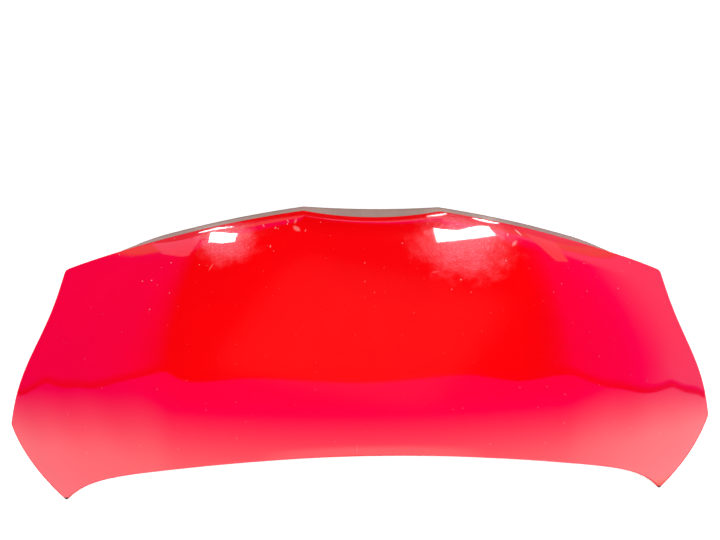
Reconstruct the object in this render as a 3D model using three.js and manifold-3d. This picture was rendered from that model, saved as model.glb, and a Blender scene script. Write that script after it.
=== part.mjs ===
// Car bonnet: a red steel skin hemmed over a ribbed inner frame, with the hinge, latch,
// bump stop and plug hardware that it carries underneath.
// Millimetres, +X to the right, +Y towards the nose, +Z up. It lies on its side edges, outer face up.

import * as THREE from 'three';
import { mergeVertices } from 'three/addons/utils/BufferGeometryUtils.js';
import Module from 'manifold-3d';

const wasm = await Module();
wasm.setup();

// Outline of the skin in plan, measured from the line through the two rear tips
const HALF_WIDTH = 705;
const TIP_X = 598;
const WIDEST_Y = 151;
const CUT_STRAIGHTNESS = 0.52;
const FRONT_CORNER_X = 602;
const FRONT_CORNER_Y = 453;
const SIDE_WAVE = 7;
const REAR_CENTRE_Y = 106;
const REAR_BOW = 70;
const TIP_SHARPNESS = 14;
const PEAK_X = 134;
const PEAK_Y = 569;
const NOTCH_DEPTH = 13;
const PEAK_SLOPE = 0.149;

// Crown of the skin
const CROWN_HEIGHT = 112;
const CROWN_Y = 258;
const CROSS_RADIUS = 3000;
const LENGTH_RADIUS = 800;
const CREASE_X = 385;
const CREASE_PULL = 73;
const CREASE_START_Y = 250;
const CREASE_POWER = 1.6;
const CREASE_SLOPE_REAR = 0.05;
const CREASE_SLOPE_FRONT = 0.12;
const CREASE_SOFTNESS = 24;
const NOSE_ROLL_LENGTH = 45;
const NOSE_ROLL_DROP = 16;
const NOSE_ROLL_FADE_START = 330;
const REAR_ROLL_LENGTH = 24;
const REAR_ROLL_DROP = 3;
const REAR_ROLL_HALF_WIDTH = 215;

// Sheets, the folded hem and the clearances between them
const SKIN_SHEET = 0.8;
const FRAME_SHEET = 0.9;
const SHEET_CLEARANCE = 0.5;
const HEM_WIDTH = 9;
const HEM_BULGE = 0.15;
const NOSE_HEM_GAP = 0.3;
const HEM_SPAN_S = 0.95;
const SIDE_HEM_T = [0.05, 0.88];
const EDGE_CLEARANCE = 2.8;

// Inner frame: channel depths, the front lip and the rows that shape its ribs
const FLANGE_DEPTH = 2.5;
const CHANNEL_DEPTH = 18;
const SIDE_CHANNEL_DEPTH = 11;
const TIP_CROP_Y = 18;
const LIP_WIDTH = 9;
const LIP_NOTCH_FILL = 9;
const LIP_FADE_START = 400;
const LIP_FADE_END = 550;
const LIP_END_SETBACK = 5;
const RIB_BASE = 0.022;
const RIB_RAMP = 0.018;
const RIB_FLANGE = 0.022;
const OUTER_RIB_S = 0.57;
const SIDE_ROWS = [0.836, 0.858, 0.88, 0.943, 0.965];
const REAR_ROWS = [0.03, 0.055, 0.17, 0.2, 0.235];
const FRONT_ROWS = [0.7, 0.735, 0.765, 0.9, 0.93];
const WINDOW_ROWS = [0.39, 0.47, 0.55, 0.63];
const LIP_ROWS = [0.955, 0.98, 1];
const WINDOW_CORNER = 24;

// Hinge fixing at each rear corner
const HINGE_PAD_S = [0.77, 0.88];
const HINGE_BOLT_PITCH = 26;
const HINGE_PLATE_LENGTH = 46;
const HINGE_PLATE_WIDTH = 24;
const HINGE_PLATE_THICKNESS = 2;
const HINGE_PLATE_CORNER = 5;
const HINGE_THREAD = 8;
const HINGE_NUT_FLATS = 13;
const HINGE_NUT_HEIGHT = 6.5;

// Latch fixing behind the nose
const LATCH_PAD_S = 0.14;
const LATCH_SETBACK = 62;
const LATCH_PAD_EXTRA_DEPTH = 3;
const LATCH_PLATE_LENGTH = 132;
const LATCH_PLATE_WIDTH = 34;
const LATCH_PLATE_THICKNESS = 1.5;
const LATCH_PLATE_CORNER = 8;
const STRIKER_PLATE_LENGTH = 92;
const STRIKER_PLATE_WIDTH = 30;
const STRIKER_PLATE_THICKNESS = 3;
const STRIKER_PLATE_CORNER = 7;
const STRIKER_BOLT_PITCH = 70;
const STRIKER_THREAD = 6;
const STRIKER_NUT_FLATS = 10;
const STRIKER_NUT_HEIGHT = 5;
const STRIKER_HEAD_HEIGHT = 4;
const STRIKER_FLANGE = 14;
const STRIKER_FLANGE_RIM = 1.2;
const STRIKER_FLANGE_HEIGHT = 1.6;
const SHANK_CHAMFER = 0.8;
const SHANK_CHAMFER_LENGTH = 1;
const LOOP_WIRE = 8;
const LOOP_PITCH = 36;
const LOOP_DROP = 36;
const LOOP_BEND = 9;
const LOOP_STEPS = 30;
const CLEARANCE = 0.3;

// Rubber and mastic
const STOP_DIAMETER = 24;
const STOP_HEIGHT = 11;
const STOP_NECK = 10;
const STOP_RIM = 2;
const STOP_DOME = [[0.55, 1], [0.8, 0.86], [0.92, 0.5]];
const STOP_BEAD = 2;
const STOP_BEAD_HEIGHT = 1.5;
const STOP_TIP_TAPER = 1.5;
const STOP_TIP_HEIGHT = 5;
const FRONT_STOP_S = 0.74;
const REAR_STOP_S = 0.68;
const PLUG_DIAMETER = 28;
const PLUG_HOLE = 22;
const PLUG_CAP = 2.4;
const PLUG_RIM = 2.2;
const PLUG_RIM_TAPER = 0.8;
const PLUG_FLOOR = [-0.6, 1];
const PLUG_WALL = 2;
const PLUG_FLOOR_MARGIN = 3;
const PLUG_LIP = 1;
const PLUG_LIP_HEIGHTS = [0.8, 2.6];
const PLUG_STATIONS_S = [0.1, 0.4];
const SOCKET_OUTER = 22;
const SOCKET_BORE = 9;
const SOCKET_RIM = 3;
const SOCKET_DEPTHS = [2.8, 2];
const SOCKET_CHAMFER = 1;
const SOCKET_TOP = 3;
const SOCKET_T = 0.52;
const SEAT_GAP = 0.6;
const GROOVE_HEIGHT = 2.2;
const MASTIC_DIAMETER = 12;
const MASTIC_SIDES = 12;
const MASTIC_ROWS_T = [0.34, 0.6];
const DRAIN_SLOT_S = 0.4;
const DRAIN_SLOT_LENGTH = 34;
const DRAIN_SLOT_WIDTH = 14;

const ROUND_SIDES = 14;
const CURVE_SEGMENTS = 6;
const CUTTER_SEGMENTS = 5;
const SEAT_CUTTER_LENGTH = 24;
const MERGE_TOLERANCE = 1e-4;
const EPSILON = 1e-6;

const UP = new THREE.Vector3(0, 0, 1);

const PAINT = { color: 0xc8000c, roughness: 0.22, metalness: 0.0 };
const PRIMER = { color: 0x9a8279, roughness: 0.55, metalness: 0.1 };
const ZINC = { color: 0xb9bcbe, roughness: 0.35, metalness: 0.9 };
const RUBBER = { color: 0x17181a, roughness: 0.85, metalness: 0.0 };
const MASTIC = { color: 0x3a3b3f, roughness: 0.95, metalness: 0.0 };

const within = (v, [low, high]) => v > low - EPSILON && v < high + EPSILON;
const lerp = THREE.MathUtils.lerp;
const clamp = THREE.MathUtils.clamp;
const smoothstep = THREE.MathUtils.smoothstep;

// Plan outline

// Rear edge: a shallow bow that dives into the two tips.
function rearEdge(x) {
  const u = Math.min(Math.abs(x) / TIP_X, 1);
  return REAR_CENTRE_Y - REAR_BOW * u ** 2 - (REAR_CENTRE_Y - REAR_BOW) * u ** TIP_SHARPNESS;
}

// Side edge: a bowed cut from the tip to the widest point, then a shallow wave to the front corner.
function sideEdge(y) {
  if (y < WIDEST_Y) {
    const u = (WIDEST_Y - y) / WIDEST_Y;
    return HALF_WIDTH - (HALF_WIDTH - TIP_X) * (CUT_STRAIGHTNESS * u + (1 - CUT_STRAIGHTNESS) * u * u);
  }
  const v = (y - WIDEST_Y) / (FRONT_CORNER_Y - WIDEST_Y);
  return lerp(HALF_WIDTH, FRONT_CORNER_X, v) + SIDE_WAVE * Math.sin(2 * Math.PI * v);
}

// Front edge: a notch between two peaks, then a line that falls ever faster to the front corner.
function frontEdge(x) {
  const a = Math.abs(x);
  if (a < PEAK_X) {
    return PEAK_Y - NOTCH_DEPTH * (1 - (a / PEAK_X) ** 2);
  }
  const run = FRONT_CORNER_X - PEAK_X;
  const bend = (PEAK_Y - FRONT_CORNER_Y - PEAK_SLOPE * run) / run ** 2;
  return PEAK_Y - PEAK_SLOPE * (a - PEAK_X) - bend * (a - PEAK_X) ** 2;
}

// Crown

function creaseLine(y) {
  const run = Math.max(y - CREASE_START_Y, 0) / (PEAK_Y - CREASE_START_Y);
  return CREASE_X - CREASE_PULL * run ** CREASE_POWER;
}

// Height of the skin's outer face: two arcs, a softened bend at each character line and rolled edges.
function skinHeight(x, y) {
  const beyond = Math.abs(x) - creaseLine(y);
  const bend = (Math.hypot(beyond, CREASE_SOFTNESS) + beyond) / 2;
  const slope = lerp(CREASE_SLOPE_REAR, CREASE_SLOPE_FRONT, clamp(y / FRONT_CORNER_Y, 0, 1));
  const nose = Math.max(1 - (frontEdge(x) - y) / NOSE_ROLL_LENGTH, 0);
  const noseDrop = NOSE_ROLL_DROP * (1 - smoothstep(Math.abs(x), NOSE_ROLL_FADE_START, FRONT_CORNER_X));
  const tail = clamp(1 - (y - rearEdge(x)) / REAR_ROLL_LENGTH, 0, 1);
  const tailWidth = Math.max(1 - (x / REAR_ROLL_HALF_WIDTH) ** 2, 0);
  return CROWN_HEIGHT - x * x / (2 * CROSS_RADIUS) - (y - CROWN_Y) ** 2 / (2 * LENGTH_RADIUS)
    - slope * bend - noseDrop * nose ** 2 - REAR_ROLL_DROP * tailWidth * tail ** 2;
}

function skinNormal(x, y) {
  const step = 0.5;
  const dx = (skinHeight(x + step, y) - skinHeight(x - step, y)) / (2 * step);
  const dy = (skinHeight(x, y + step) - skinHeight(x, y - step)) / (2 * step);
  return new THREE.Vector3(-dx, -dy, 1).normalize();
}

// Point at a depth below the outer face, measured square to it
function below(x, y, depth) {
  const p = new THREE.Vector3(x, y, skinHeight(x, y));
  return p.addScaledVector(skinNormal(x, y), -depth);
}

// Height of a point straight below (x, y) that lies at a depth square to the outer face
function heightAtDepth(x, y, depth) {
  return skinHeight(x, y) - depth / skinNormal(x, y).z;
}

// Plan patch: s runs from -1 to 1 across the bonnet, t from 0 at the rear to 1 at the front.
// edges holds the rear, front and side curves and the corner abscissas of the patch.
function planPoint(edges, s, t) {
  const rearX = s * edges.rearCornerX;
  const frontX = s * edges.frontCornerX;
  const y = lerp(edges.rear(rearX), edges.front(frontX), t);
  const cornerY = lerp(edges.rear(edges.rearCornerX), edges.front(edges.frontCornerX), t);
  const bulge = edges.side(cornerY) - lerp(edges.rearCornerX, edges.frontCornerX, t);
  return new THREE.Vector2(lerp(rearX, frontX, t) + bulge * s * s * s, y);
}

const skinEdges = {
  rear: rearEdge,
  front: frontEdge,
  side: sideEdge,
  rearCornerX: TIP_X,
  frontCornerX: FRONT_CORNER_X,
};

// The frame's edge lies inside the hem at the rear and sides and runs out past the nose as a lip.
function lipReach(x) {
  const a = Math.abs(x);
  const fade = 1 - smoothstep(a, LIP_FADE_START, LIP_FADE_END);
  const fill = LIP_NOTCH_FILL * Math.max(1 - (a / PEAK_X) ** 2, 0);
  return lerp(-LIP_END_SETBACK, LIP_WIDTH, fade) + fill;
}

const FRAME_SIDE_END_Y = FRONT_CORNER_Y - LIP_END_SETBACK;
const frameRear = (x) => Math.max(rearEdge(x) + EDGE_CLEARANCE, TIP_CROP_Y);
const frameFront = (x) => frontEdge(x) + lipReach(x);
const frameSide = (y) => sideEdge(y) - EDGE_CLEARANCE;
const frameEdges = {
  rear: frameRear,
  front: frameFront,
  side: frameSide,
  rearCornerX: frameSide(TIP_CROP_Y),
  frontCornerX: frameSide(FRAME_SIDE_END_Y),
};

// Solids

function toManifold(geometry) {
  const bare = geometry.clone();
  bare.deleteAttribute('normal');
  bare.deleteAttribute('uv');
  const merged = mergeVertices(bare, MERGE_TOLERANCE);
  return new wasm.Manifold(new wasm.Mesh({
    numProp: 3,
    vertProperties: new Float32Array(merged.attributes.position.array),
    triVerts: new Uint32Array(merged.index.array),
  }));
}

function toGeometry(manifold) {
  const mesh = manifold.getMesh();
  const geometry = new THREE.BufferGeometry();
  geometry.setAttribute('position', new THREE.BufferAttribute(mesh.vertProperties, 3));
  geometry.setIndex(new THREE.BufferAttribute(mesh.triVerts, 1));
  geometry.computeVertexNormals();
  return geometry;
}

function indexedGeometry(points, triangles) {
  const geometry = new THREE.BufferGeometry().setFromPoints(points);
  geometry.setIndex(triangles);
  return geometry;
}

// Closed sheet between two point grids; the quads' diagonals mirror about the middle column.
function sheetFromGrids(top, bottom) {
  const columns = top.length;
  const rows = top[0].length;
  const middle = (columns - 1) / 2;
  const count = columns * rows;
  const at = (i, j) => i * rows + j;
  const triangles = [];
  const quad = (a, b, c, d) => triangles.push(a, b, c, a, c, d);
  for (let i = 0; i < columns - 1; i += 1) {
    for (let j = 0; j < rows - 1; j += 1) {
      const ring = [at(i, j), at(i + 1, j), at(i + 1, j + 1), at(i, j + 1)];
      const [a, b, c, d] = i < middle ? ring : [...ring.slice(1), ring[0]];
      quad(a, b, c, d);
      quad(a + count, d + count, c + count, b + count);
    }
  }
  for (let i = 0; i < columns - 1; i += 1) {
    const last = rows - 1;
    quad(at(i, 0), at(i, 0) + count, at(i + 1, 0) + count, at(i + 1, 0));
    quad(at(i + 1, last), at(i + 1, last) + count, at(i, last) + count, at(i, last));
  }
  for (let j = 0; j < rows - 1; j += 1) {
    const last = columns - 1;
    quad(at(0, j + 1), at(0, j + 1) + count, at(0, j) + count, at(0, j));
    quad(at(last, j), at(last, j) + count, at(last, j + 1) + count, at(last, j + 1));
  }
  return indexedGeometry([...top.flat(), ...bottom.flat()], triangles);
}

// Closed solid through equal rings of points; section is the flat outline that closes the ends.
function loft(rings, section) {
  const sides = section.length;
  const caps = THREE.ShapeUtils.triangulateShape(section, []);
  const triangles = [];
  for (let k = 0; k < rings.length - 1; k += 1) {
    for (let i = 0; i < sides; i += 1) {
      const next = (i + 1) % sides;
      const a = k * sides + i;
      const b = k * sides + next;
      triangles.push(a, b, b + sides, a, b + sides, a + sides);
    }
  }
  const end = (rings.length - 1) * sides;
  for (const [a, b, c] of caps) {
    triangles.push(a, c, b, end + a, end + b, end + c);
  }
  const geometry = indexedGeometry(rings.flat(), triangles);
  return signedVolume(geometry) < 0 ? reversed(geometry) : geometry;
}

function signedVolume(geometry) {
  const p = geometry.attributes.position;
  const index = geometry.index.array;
  const corner = [0, 1, 2].map(() => new THREE.Vector3());
  let sum = 0;
  for (let k = 0; k < index.length; k += 3) {
    corner.forEach((v, n) => v.fromBufferAttribute(p, index[k + n]));
    sum += corner[0].dot(corner[1].clone().cross(corner[2]));
  }
  return sum / 6;
}

function reversed(geometry) {
  const index = geometry.index.array;
  for (let k = 0; k < index.length; k += 3) {
    [index[k], index[k + 1]] = [index[k + 1], index[k]];
  }
  return geometry;
}

// Upright cylinder between two heights
function cylinder(x, y, low, high, diameter) {
  const geometry = new THREE.CylinderGeometry(diameter / 2, diameter / 2, high - low, ROUND_SIDES);
  return geometry.rotateX(Math.PI / 2).translate(x, y, (low + high) / 2);
}

function roundedOutline(corners, radius) {
  const shape = new THREE.Shape();
  corners.forEach((corner, k) => {
    const before = corners[(k + corners.length - 1) % corners.length];
    const after = corners[(k + 1) % corners.length];
    const start = corner.clone().add(before.clone().sub(corner).setLength(radius));
    const end = corner.clone().add(after.clone().sub(corner).setLength(radius));
    if (k === 0) {
      shape.moveTo(start.x, start.y);
    } else {
      shape.lineTo(start.x, start.y);
    }
    shape.quadraticCurveTo(corner.x, corner.y, end.x, end.y);
  });
  shape.closePath();
  return shape;
}

function slot(length, width) {
  const half = (length - width) / 2;
  const shape = new THREE.Shape();
  shape.absarc(half, 0, width / 2, -Math.PI / 2, Math.PI / 2);
  shape.absarc(-half, 0, width / 2, Math.PI / 2, Math.PI * 1.5);
  return shape;
}

const TALL = 400;

// Cutter that passes right through the bonnet along Z
function through(shape) {
  const geometry = new THREE.ExtrudeGeometry(shape, {
    depth: TALL,
    bevelEnabled: false,
    curveSegments: CUTTER_SEGMENTS,
  });
  return geometry.translate(0, 0, -TALL / 2);
}

function cut(solid, geometry) {
  return solid.subtract(toManifold(geometry));
}

function addMesh(parent, name, geometry, finish) {
  const mesh = new THREE.Mesh(geometry, new THREE.MeshStandardMaterial(finish));
  mesh.name = name;
  parent.add(mesh);
  return mesh;
}

const mirrored = (half) => [...half.filter((s) => s > 0).map((s) => -s).reverse(), ...half];

// Outer skin

const SKIN_COLUMNS = mirrored([0, 0.075, 0.15, PEAK_X / FRONT_CORNER_X, 0.3, 0.38, 0.44, 0.48, 0.52, 0.56,
  0.6, 0.64, 0.7, 0.77, 0.84, 0.9, 0.95, 1]);
const SKIN_ROWS = [0, 0.02, 0.05, 0.12, 0.19, 0.26, WIDEST_Y / FRONT_CORNER_Y, 0.4, 0.47, 0.54, 0.61, 0.68,
  0.75, 0.82, 0.88, 0.91, 0.935, 0.96, 0.98, 1];

// Stations of the hem lie on an edge of the plan, at the corners of the skin's own grid.
function hemStations(edgePoint, params) {
  return params.map((u) => {
    const tangent = edgePoint(u + 1e-3).sub(edgePoint(u - 1e-3)).normalize();
    return { point: edgePoint(u), inward: new THREE.Vector2(-tangent.y, tangent.x) };
  });
}

// Section of the hem as (distance in from the edge, depth below the outer face)
function hemSection(returnTop) {
  const returnBottom = returnTop + SKIN_SHEET;
  const start = SKIN_SHEET / 2;
  return [
    [SKIN_SHEET, start],
    [SKIN_SHEET, returnTop],
    [HEM_WIDTH / 2, returnTop],
    [HEM_WIDTH, returnTop],
    [HEM_WIDTH, returnBottom],
    [HEM_WIDTH / 2, returnBottom],
    [SKIN_SHEET / 2, returnBottom],
    [-HEM_BULGE, returnBottom - SKIN_SHEET / 2],
    [-HEM_BULGE, start],
  ].map(([a, b]) => new THREE.Vector2(a, b));
}

function hemStrip(stations, section) {
  const rings = stations.map(({ point, inward }) => section.map((v) => {
    const foot = point.clone().addScaledVector(inward, v.x);
    return below(foot.x, foot.y, v.y);
  }));
  return loft(rings, section);
}

const SIDE_RETURN_TOP = SKIN_SHEET + FRAME_SHEET + 2 * SHEET_CLEARANCE;
const NOSE_RETURN_TOP = SKIN_SHEET + NOSE_HEM_GAP;

function buildSkin(parent) {
  const top = SKIN_COLUMNS.map((s) => SKIN_ROWS.map((t) => planPoint(skinEdges, s, t)));
  const outer = top.map((column) => column.map((p) => below(p.x, p.y, 0)));
  const inner = top.map((column) => column.map((p) => below(p.x, p.y, SKIN_SHEET)));
  let skin = toManifold(sheetFromGrids(outer, inner));

  const span = SKIN_COLUMNS.filter((s) => Math.abs(s) < HEM_SPAN_S + EPSILON);
  const flank = SKIN_ROWS.filter((t) => within(t, SIDE_HEM_T));
  const rearPoint = (s) => new THREE.Vector2(s * TIP_X, rearEdge(s * TIP_X));
  const nosePoint = (s) => new THREE.Vector2(-s * FRONT_CORNER_X, frontEdge(s * FRONT_CORNER_X));
  const rightPoint = (t) => new THREE.Vector2(sideEdge(t * FRONT_CORNER_Y), t * FRONT_CORNER_Y);
  const leftPoint = (t) => new THREE.Vector2(-sideEdge(-t * FRONT_CORNER_Y), -t * FRONT_CORNER_Y);
  const rear = hemStations(rearPoint, span);
  const nose = hemStations(nosePoint, span);
  const right = hemStations(rightPoint, flank);
  const left = hemStations(leftPoint, flank.map((t) => -t).reverse());

  for (const stations of [rear, right, left]) {
    skin = skin.add(toManifold(hemStrip(stations, hemSection(SIDE_RETURN_TOP))));
  }
  skin = skin.add(toManifold(hemStrip(nose, hemSection(NOSE_RETURN_TOP))));
  addMesh(parent, 'outer_skin', toGeometry(skin), PAINT);
}

// Inner frame

const INNER_RIB_S = PEAK_X / frameEdges.frontCornerX;

const middleT = (rows, low, high) => (rows[low] + rows[high]) / 2;

function ribRows(centre) {
  const steps = [RIB_BASE, RIB_BASE + RIB_RAMP, RIB_BASE + RIB_RAMP + RIB_FLANGE];
  return [...steps.map((d) => centre - d).reverse(), centre, ...steps.map((d) => centre + d)];
}

const FRAME_COLUMNS = mirrored([0, LATCH_PAD_S, ...ribRows(INNER_RIB_S), 0.38, 0.45, ...ribRows(OUTER_RIB_S),
  0.7, HINGE_PAD_S[0] - RIB_RAMP, HINGE_PAD_S[0], ...SIDE_ROWS, 1].sort((a, b) => a - b));
const WIDEST_T = (WIDEST_Y - TIP_CROP_Y) / (FRAME_SIDE_END_Y - TIP_CROP_Y);
const thirds = (low, high) => [lerp(low, high, 1 / 3), lerp(low, high, 2 / 3)];
const FRAME_ROWS = [0, ...REAR_ROWS, ...thirds(REAR_ROWS[1], REAR_ROWS[2]), WIDEST_T, ...WINDOW_ROWS,
  ...FRONT_ROWS, ...thirds(FRONT_ROWS[2], FRONT_ROWS[3]), ...LIP_ROWS].sort((a, b) => a - b);

// 1 on a channel's base, 0 on its flanges, and a straight wall between
function channel(v, wallLow, baseLow, baseHigh, wallHigh) {
  const rise = clamp((v - wallLow) / (baseLow - wallLow), 0, 1);
  const fall = clamp((wallHigh - v) / (wallHigh - baseHigh), 0, 1);
  return Math.min(rise, fall);
}

function ribAt(a, centre) {
  const wall = RIB_BASE + RIB_RAMP;
  return channel(a, centre - wall, centre - RIB_BASE, centre + RIB_BASE, centre + wall);
}

// Depth of the frame below the skin's inner face, square to it
function frameDepth(s, t) {
  const a = Math.abs(s);
  const across = Math.max(ribAt(a, INNER_RIB_S), ribAt(a, OUTER_RIB_S));
  const side = channel(a, SIDE_ROWS[1], SIDE_ROWS[2], SIDE_ROWS[3], SIDE_ROWS[4]);
  const along = Math.max(
    channel(t, REAR_ROWS[0], REAR_ROWS[1], REAR_ROWS[2], REAR_ROWS[3]),
    channel(t, FRONT_ROWS[1], FRONT_ROWS[2], FRONT_ROWS[3], FRONT_ROWS[4]),
  );
  const sideRim = clamp((a - SIDE_ROWS[3]) / (SIDE_ROWS[4] - SIDE_ROWS[3]), 0, 1);
  const rearRim = clamp((REAR_ROWS[1] - t) / (REAR_ROWS[1] - REAR_ROWS[0]), 0, 1);
  const noseRim = clamp((t - FRONT_ROWS[3]) / (FRONT_ROWS[4] - FRONT_ROWS[3]), 0, 1);
  const outboard = clamp((a - SIDE_ROWS[2]) / (SIDE_ROWS[3] - SIDE_ROWS[2]), 0, 1);
  const base = lerp(CHANNEL_DEPTH, SIDE_CHANNEL_DEPTH, outboard);
  const ribbed = lerp(FLANGE_DEPTH, base, Math.max(across, along));
  const inside = Math.max(ribbed, lerp(FLANGE_DEPTH, SIDE_CHANNEL_DEPTH, side));
  const noseDepth = NOSE_RETURN_TOP + SHEET_CLEARANCE;
  const hemmed = lerp(inside, SHEET_CLEARANCE, Math.max(sideRim, rearRim));
  return lerp(hemmed, noseDepth, noseRim);
}

const latchCentre = new THREE.Vector2(0, frontEdge(0) - LATCH_SETBACK);
const LATCH_PAD_DEPTH = SKIN_SHEET + CHANNEL_DEPTH + LATCH_PAD_EXTRA_DEPTH;
const LATCH_PAD_Z = heightAtDepth(latchCentre.x, latchCentre.y, LATCH_PAD_DEPTH);
const hingeCentre = planPoint(frameEdges, middleT(HINGE_PAD_S, 0, 1), middleT(REAR_ROWS, 1, 2));
const HINGE_PAD_Z = heightAtDepth(hingeCentre.x, hingeCentre.y, SKIN_SHEET + CHANNEL_DEPTH);

// Upper face of the frame: it follows the skin, with level pads at the latch and the hinges.
function framePoint(s, t) {
  const p = planPoint(frameEdges, s, t);
  const onLatch = Math.abs(s) < LATCH_PAD_S + EPSILON && within(t, [FRONT_ROWS[2], FRONT_ROWS[3]]);
  const onHinge = within(Math.abs(s), HINGE_PAD_S) && within(t, [REAR_ROWS[1], REAR_ROWS[2]]);
  if (onLatch) {
    return new THREE.Vector3(p.x, p.y, LATCH_PAD_Z);
  }
  if (onHinge) {
    return new THREE.Vector3(p.x, p.y, HINGE_PAD_Z);
  }
  return new THREE.Vector3(p.x, p.y, heightAtDepth(p.x, p.y, SKIN_SHEET + frameDepth(s, t)));
}

// Corners of the windows in (s, t), between the flanges of the ribs
const WALL = RIB_BASE + RIB_RAMP + RIB_FLANGE;
const WINDOW_SPANS = [
  [INNER_RIB_S + WALL, OUTER_RIB_S - WALL],
  [OUTER_RIB_S + WALL, SIDE_ROWS[0]],
];
const WINDOW_T = [REAR_ROWS[4], FRONT_ROWS[0]];
const windows = [[-(INNER_RIB_S - WALL), INNER_RIB_S - WALL], ...WINDOW_SPANS,
  ...WINDOW_SPANS.map(([low, high]) => [-high, -low])];

function windowOutline([low, high]) {
  const corners = [[low, WINDOW_T[0]], [high, WINDOW_T[0]], [high, WINDOW_T[1]], [low, WINDOW_T[1]]];
  return roundedOutline(corners.map(([s, t]) => planPoint(frameEdges, s, t)), WINDOW_CORNER);
}

// A seat on the frame: where its upper face is at (s, t), and which way is square to it
function frameSeat(s, t) {
  const p = planPoint(frameEdges, s, t);
  const normal = skinNormal(p.x, p.y);
  const depth = SKIN_SHEET + frameDepth(s, t);
  return { point: new THREE.Vector3(p.x, p.y, heightAtDepth(p.x, p.y, depth)), normal };
}

const REAR_CHANNEL_T = middleT(REAR_ROWS, 1, 2);
const FRONT_CHANNEL_T = middleT(FRONT_ROWS, 2, 3);
const SIDE_CHANNEL_S = middleT(SIDE_ROWS, 2, 3);

const stopSeats = [
  ['front_bump_stop_left', -FRONT_STOP_S, FRONT_CHANNEL_T],
  ['front_bump_stop_right', FRONT_STOP_S, FRONT_CHANNEL_T],
  ['rear_bump_stop_left', -REAR_STOP_S, REAR_CHANNEL_T],
  ['rear_bump_stop_right', REAR_STOP_S, REAR_CHANNEL_T],
];
const plugSeats = PLUG_STATIONS_S.flatMap((s, k) => [
  [`blanking_plug_left_${k + 1}`, -s, REAR_CHANNEL_T],
  [`blanking_plug_right_${k + 1}`, s, REAR_CHANNEL_T],
]);
const socketSeat = ['prop_rod_grommet', SIDE_CHANNEL_S, SOCKET_T];

const hingeBolts = [-1, 1].flatMap((side) => [-1, 1].map((step) => ({
  side,
  x: side * (hingeCentre.x + step * HINGE_BOLT_PITCH / 2),
  y: hingeCentre.y,
})));
const strikerBolts = [-1, 1].map((side) => ({ side, x: side * STRIKER_BOLT_PITCH / 2, y: latchCentre.y }));

// Cylinder square to the frame at a seat
function seatCutter(seat, diameter) {
  const geometry = new THREE.CylinderGeometry(diameter / 2, diameter / 2, SEAT_CUTTER_LENGTH, ROUND_SIDES);
  geometry.rotateX(Math.PI / 2);
  geometry.applyQuaternion(new THREE.Quaternion().setFromUnitVectors(UP, seat.normal));
  return geometry.translate(seat.point.x, seat.point.y, seat.point.z);
}

function buildFrame(parent) {
  const top = FRAME_COLUMNS.map((s) => FRAME_ROWS.map((t) => framePoint(s, t)));
  const bottom = top.map((column) => column.map((p) => new THREE.Vector3(p.x, p.y, p.z - FRAME_SHEET)));
  let frame = toManifold(sheetFromGrids(top, bottom));
  for (const span of windows) {
    frame = cut(frame, through(windowOutline(span)));
  }
  for (const { x, y } of hingeBolts) {
    frame = cut(frame, cylinder(x, y, -TALL / 2, TALL / 2, HINGE_THREAD + 2 * CLEARANCE));
  }
  for (const { x, y } of strikerBolts) {
    frame = cut(frame, cylinder(x, y, -TALL / 2, TALL / 2, STRIKER_THREAD + 2 * CLEARANCE));
  }
  for (const [, s, t] of stopSeats) {
    frame = cut(frame, seatCutter(frameSeat(s, t), STOP_NECK + 2 * CLEARANCE));
  }
  for (const [, s, t] of plugSeats) {
    frame = cut(frame, seatCutter(frameSeat(s, t), PLUG_HOLE));
  }
  frame = cut(frame, seatCutter(frameSeat(socketSeat[1], socketSeat[2]), SOCKET_OUTER));
  for (const s of [-DRAIN_SLOT_S, DRAIN_SLOT_S]) {
    const p = planPoint(frameEdges, s, FRONT_CHANNEL_T);
    frame = cut(frame, through(slot(DRAIN_SLOT_LENGTH, DRAIN_SLOT_WIDTH)).translate(p.x, p.y, 0));
  }
  addMesh(parent, 'inner_frame', toGeometry(frame), PRIMER);
}

// Hardware

function hexagon(flats) {
  const radius = flats / Math.sqrt(3);
  const corners = [0, 1, 2, 3, 4, 5].map((k) => new THREE.Vector2(radius, 0).rotateAround(
    new THREE.Vector2(), k * Math.PI / 3));
  return new THREE.Shape(corners);
}

function punched(shape, x, y, diameter) {
  const hole = new THREE.Path();
  hole.absarc(x, y, diameter / 2, 0, 2 * Math.PI, true);
  shape.holes.push(hole);
  return shape;
}

function plate(length, width, corner) {
  const x = length / 2;
  const y = width / 2;
  const corners = [[-x, -y], [x, -y], [x, y], [-x, y]].map(([u, v]) => new THREE.Vector2(u, v));
  return roundedOutline(corners, corner);
}

function extruded(shape, depth) {
  return new THREE.ExtrudeGeometry(shape, { depth, bevelEnabled: false, curveSegments: CURVE_SEGMENTS });
}

function weldNut(flats, height, thread) {
  return extruded(punched(hexagon(flats), 0, 0, thread), height);
}

// Turned solid about Z from (radius, height) pairs
function lathed(profile) {
  const points = profile.map(([r, z]) => new THREE.Vector2(r, z));
  return new THREE.LatheGeometry(points, ROUND_SIDES).rotateX(Math.PI / 2);
}

const sideName = (side) => (side < 0 ? 'left' : 'right');

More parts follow.
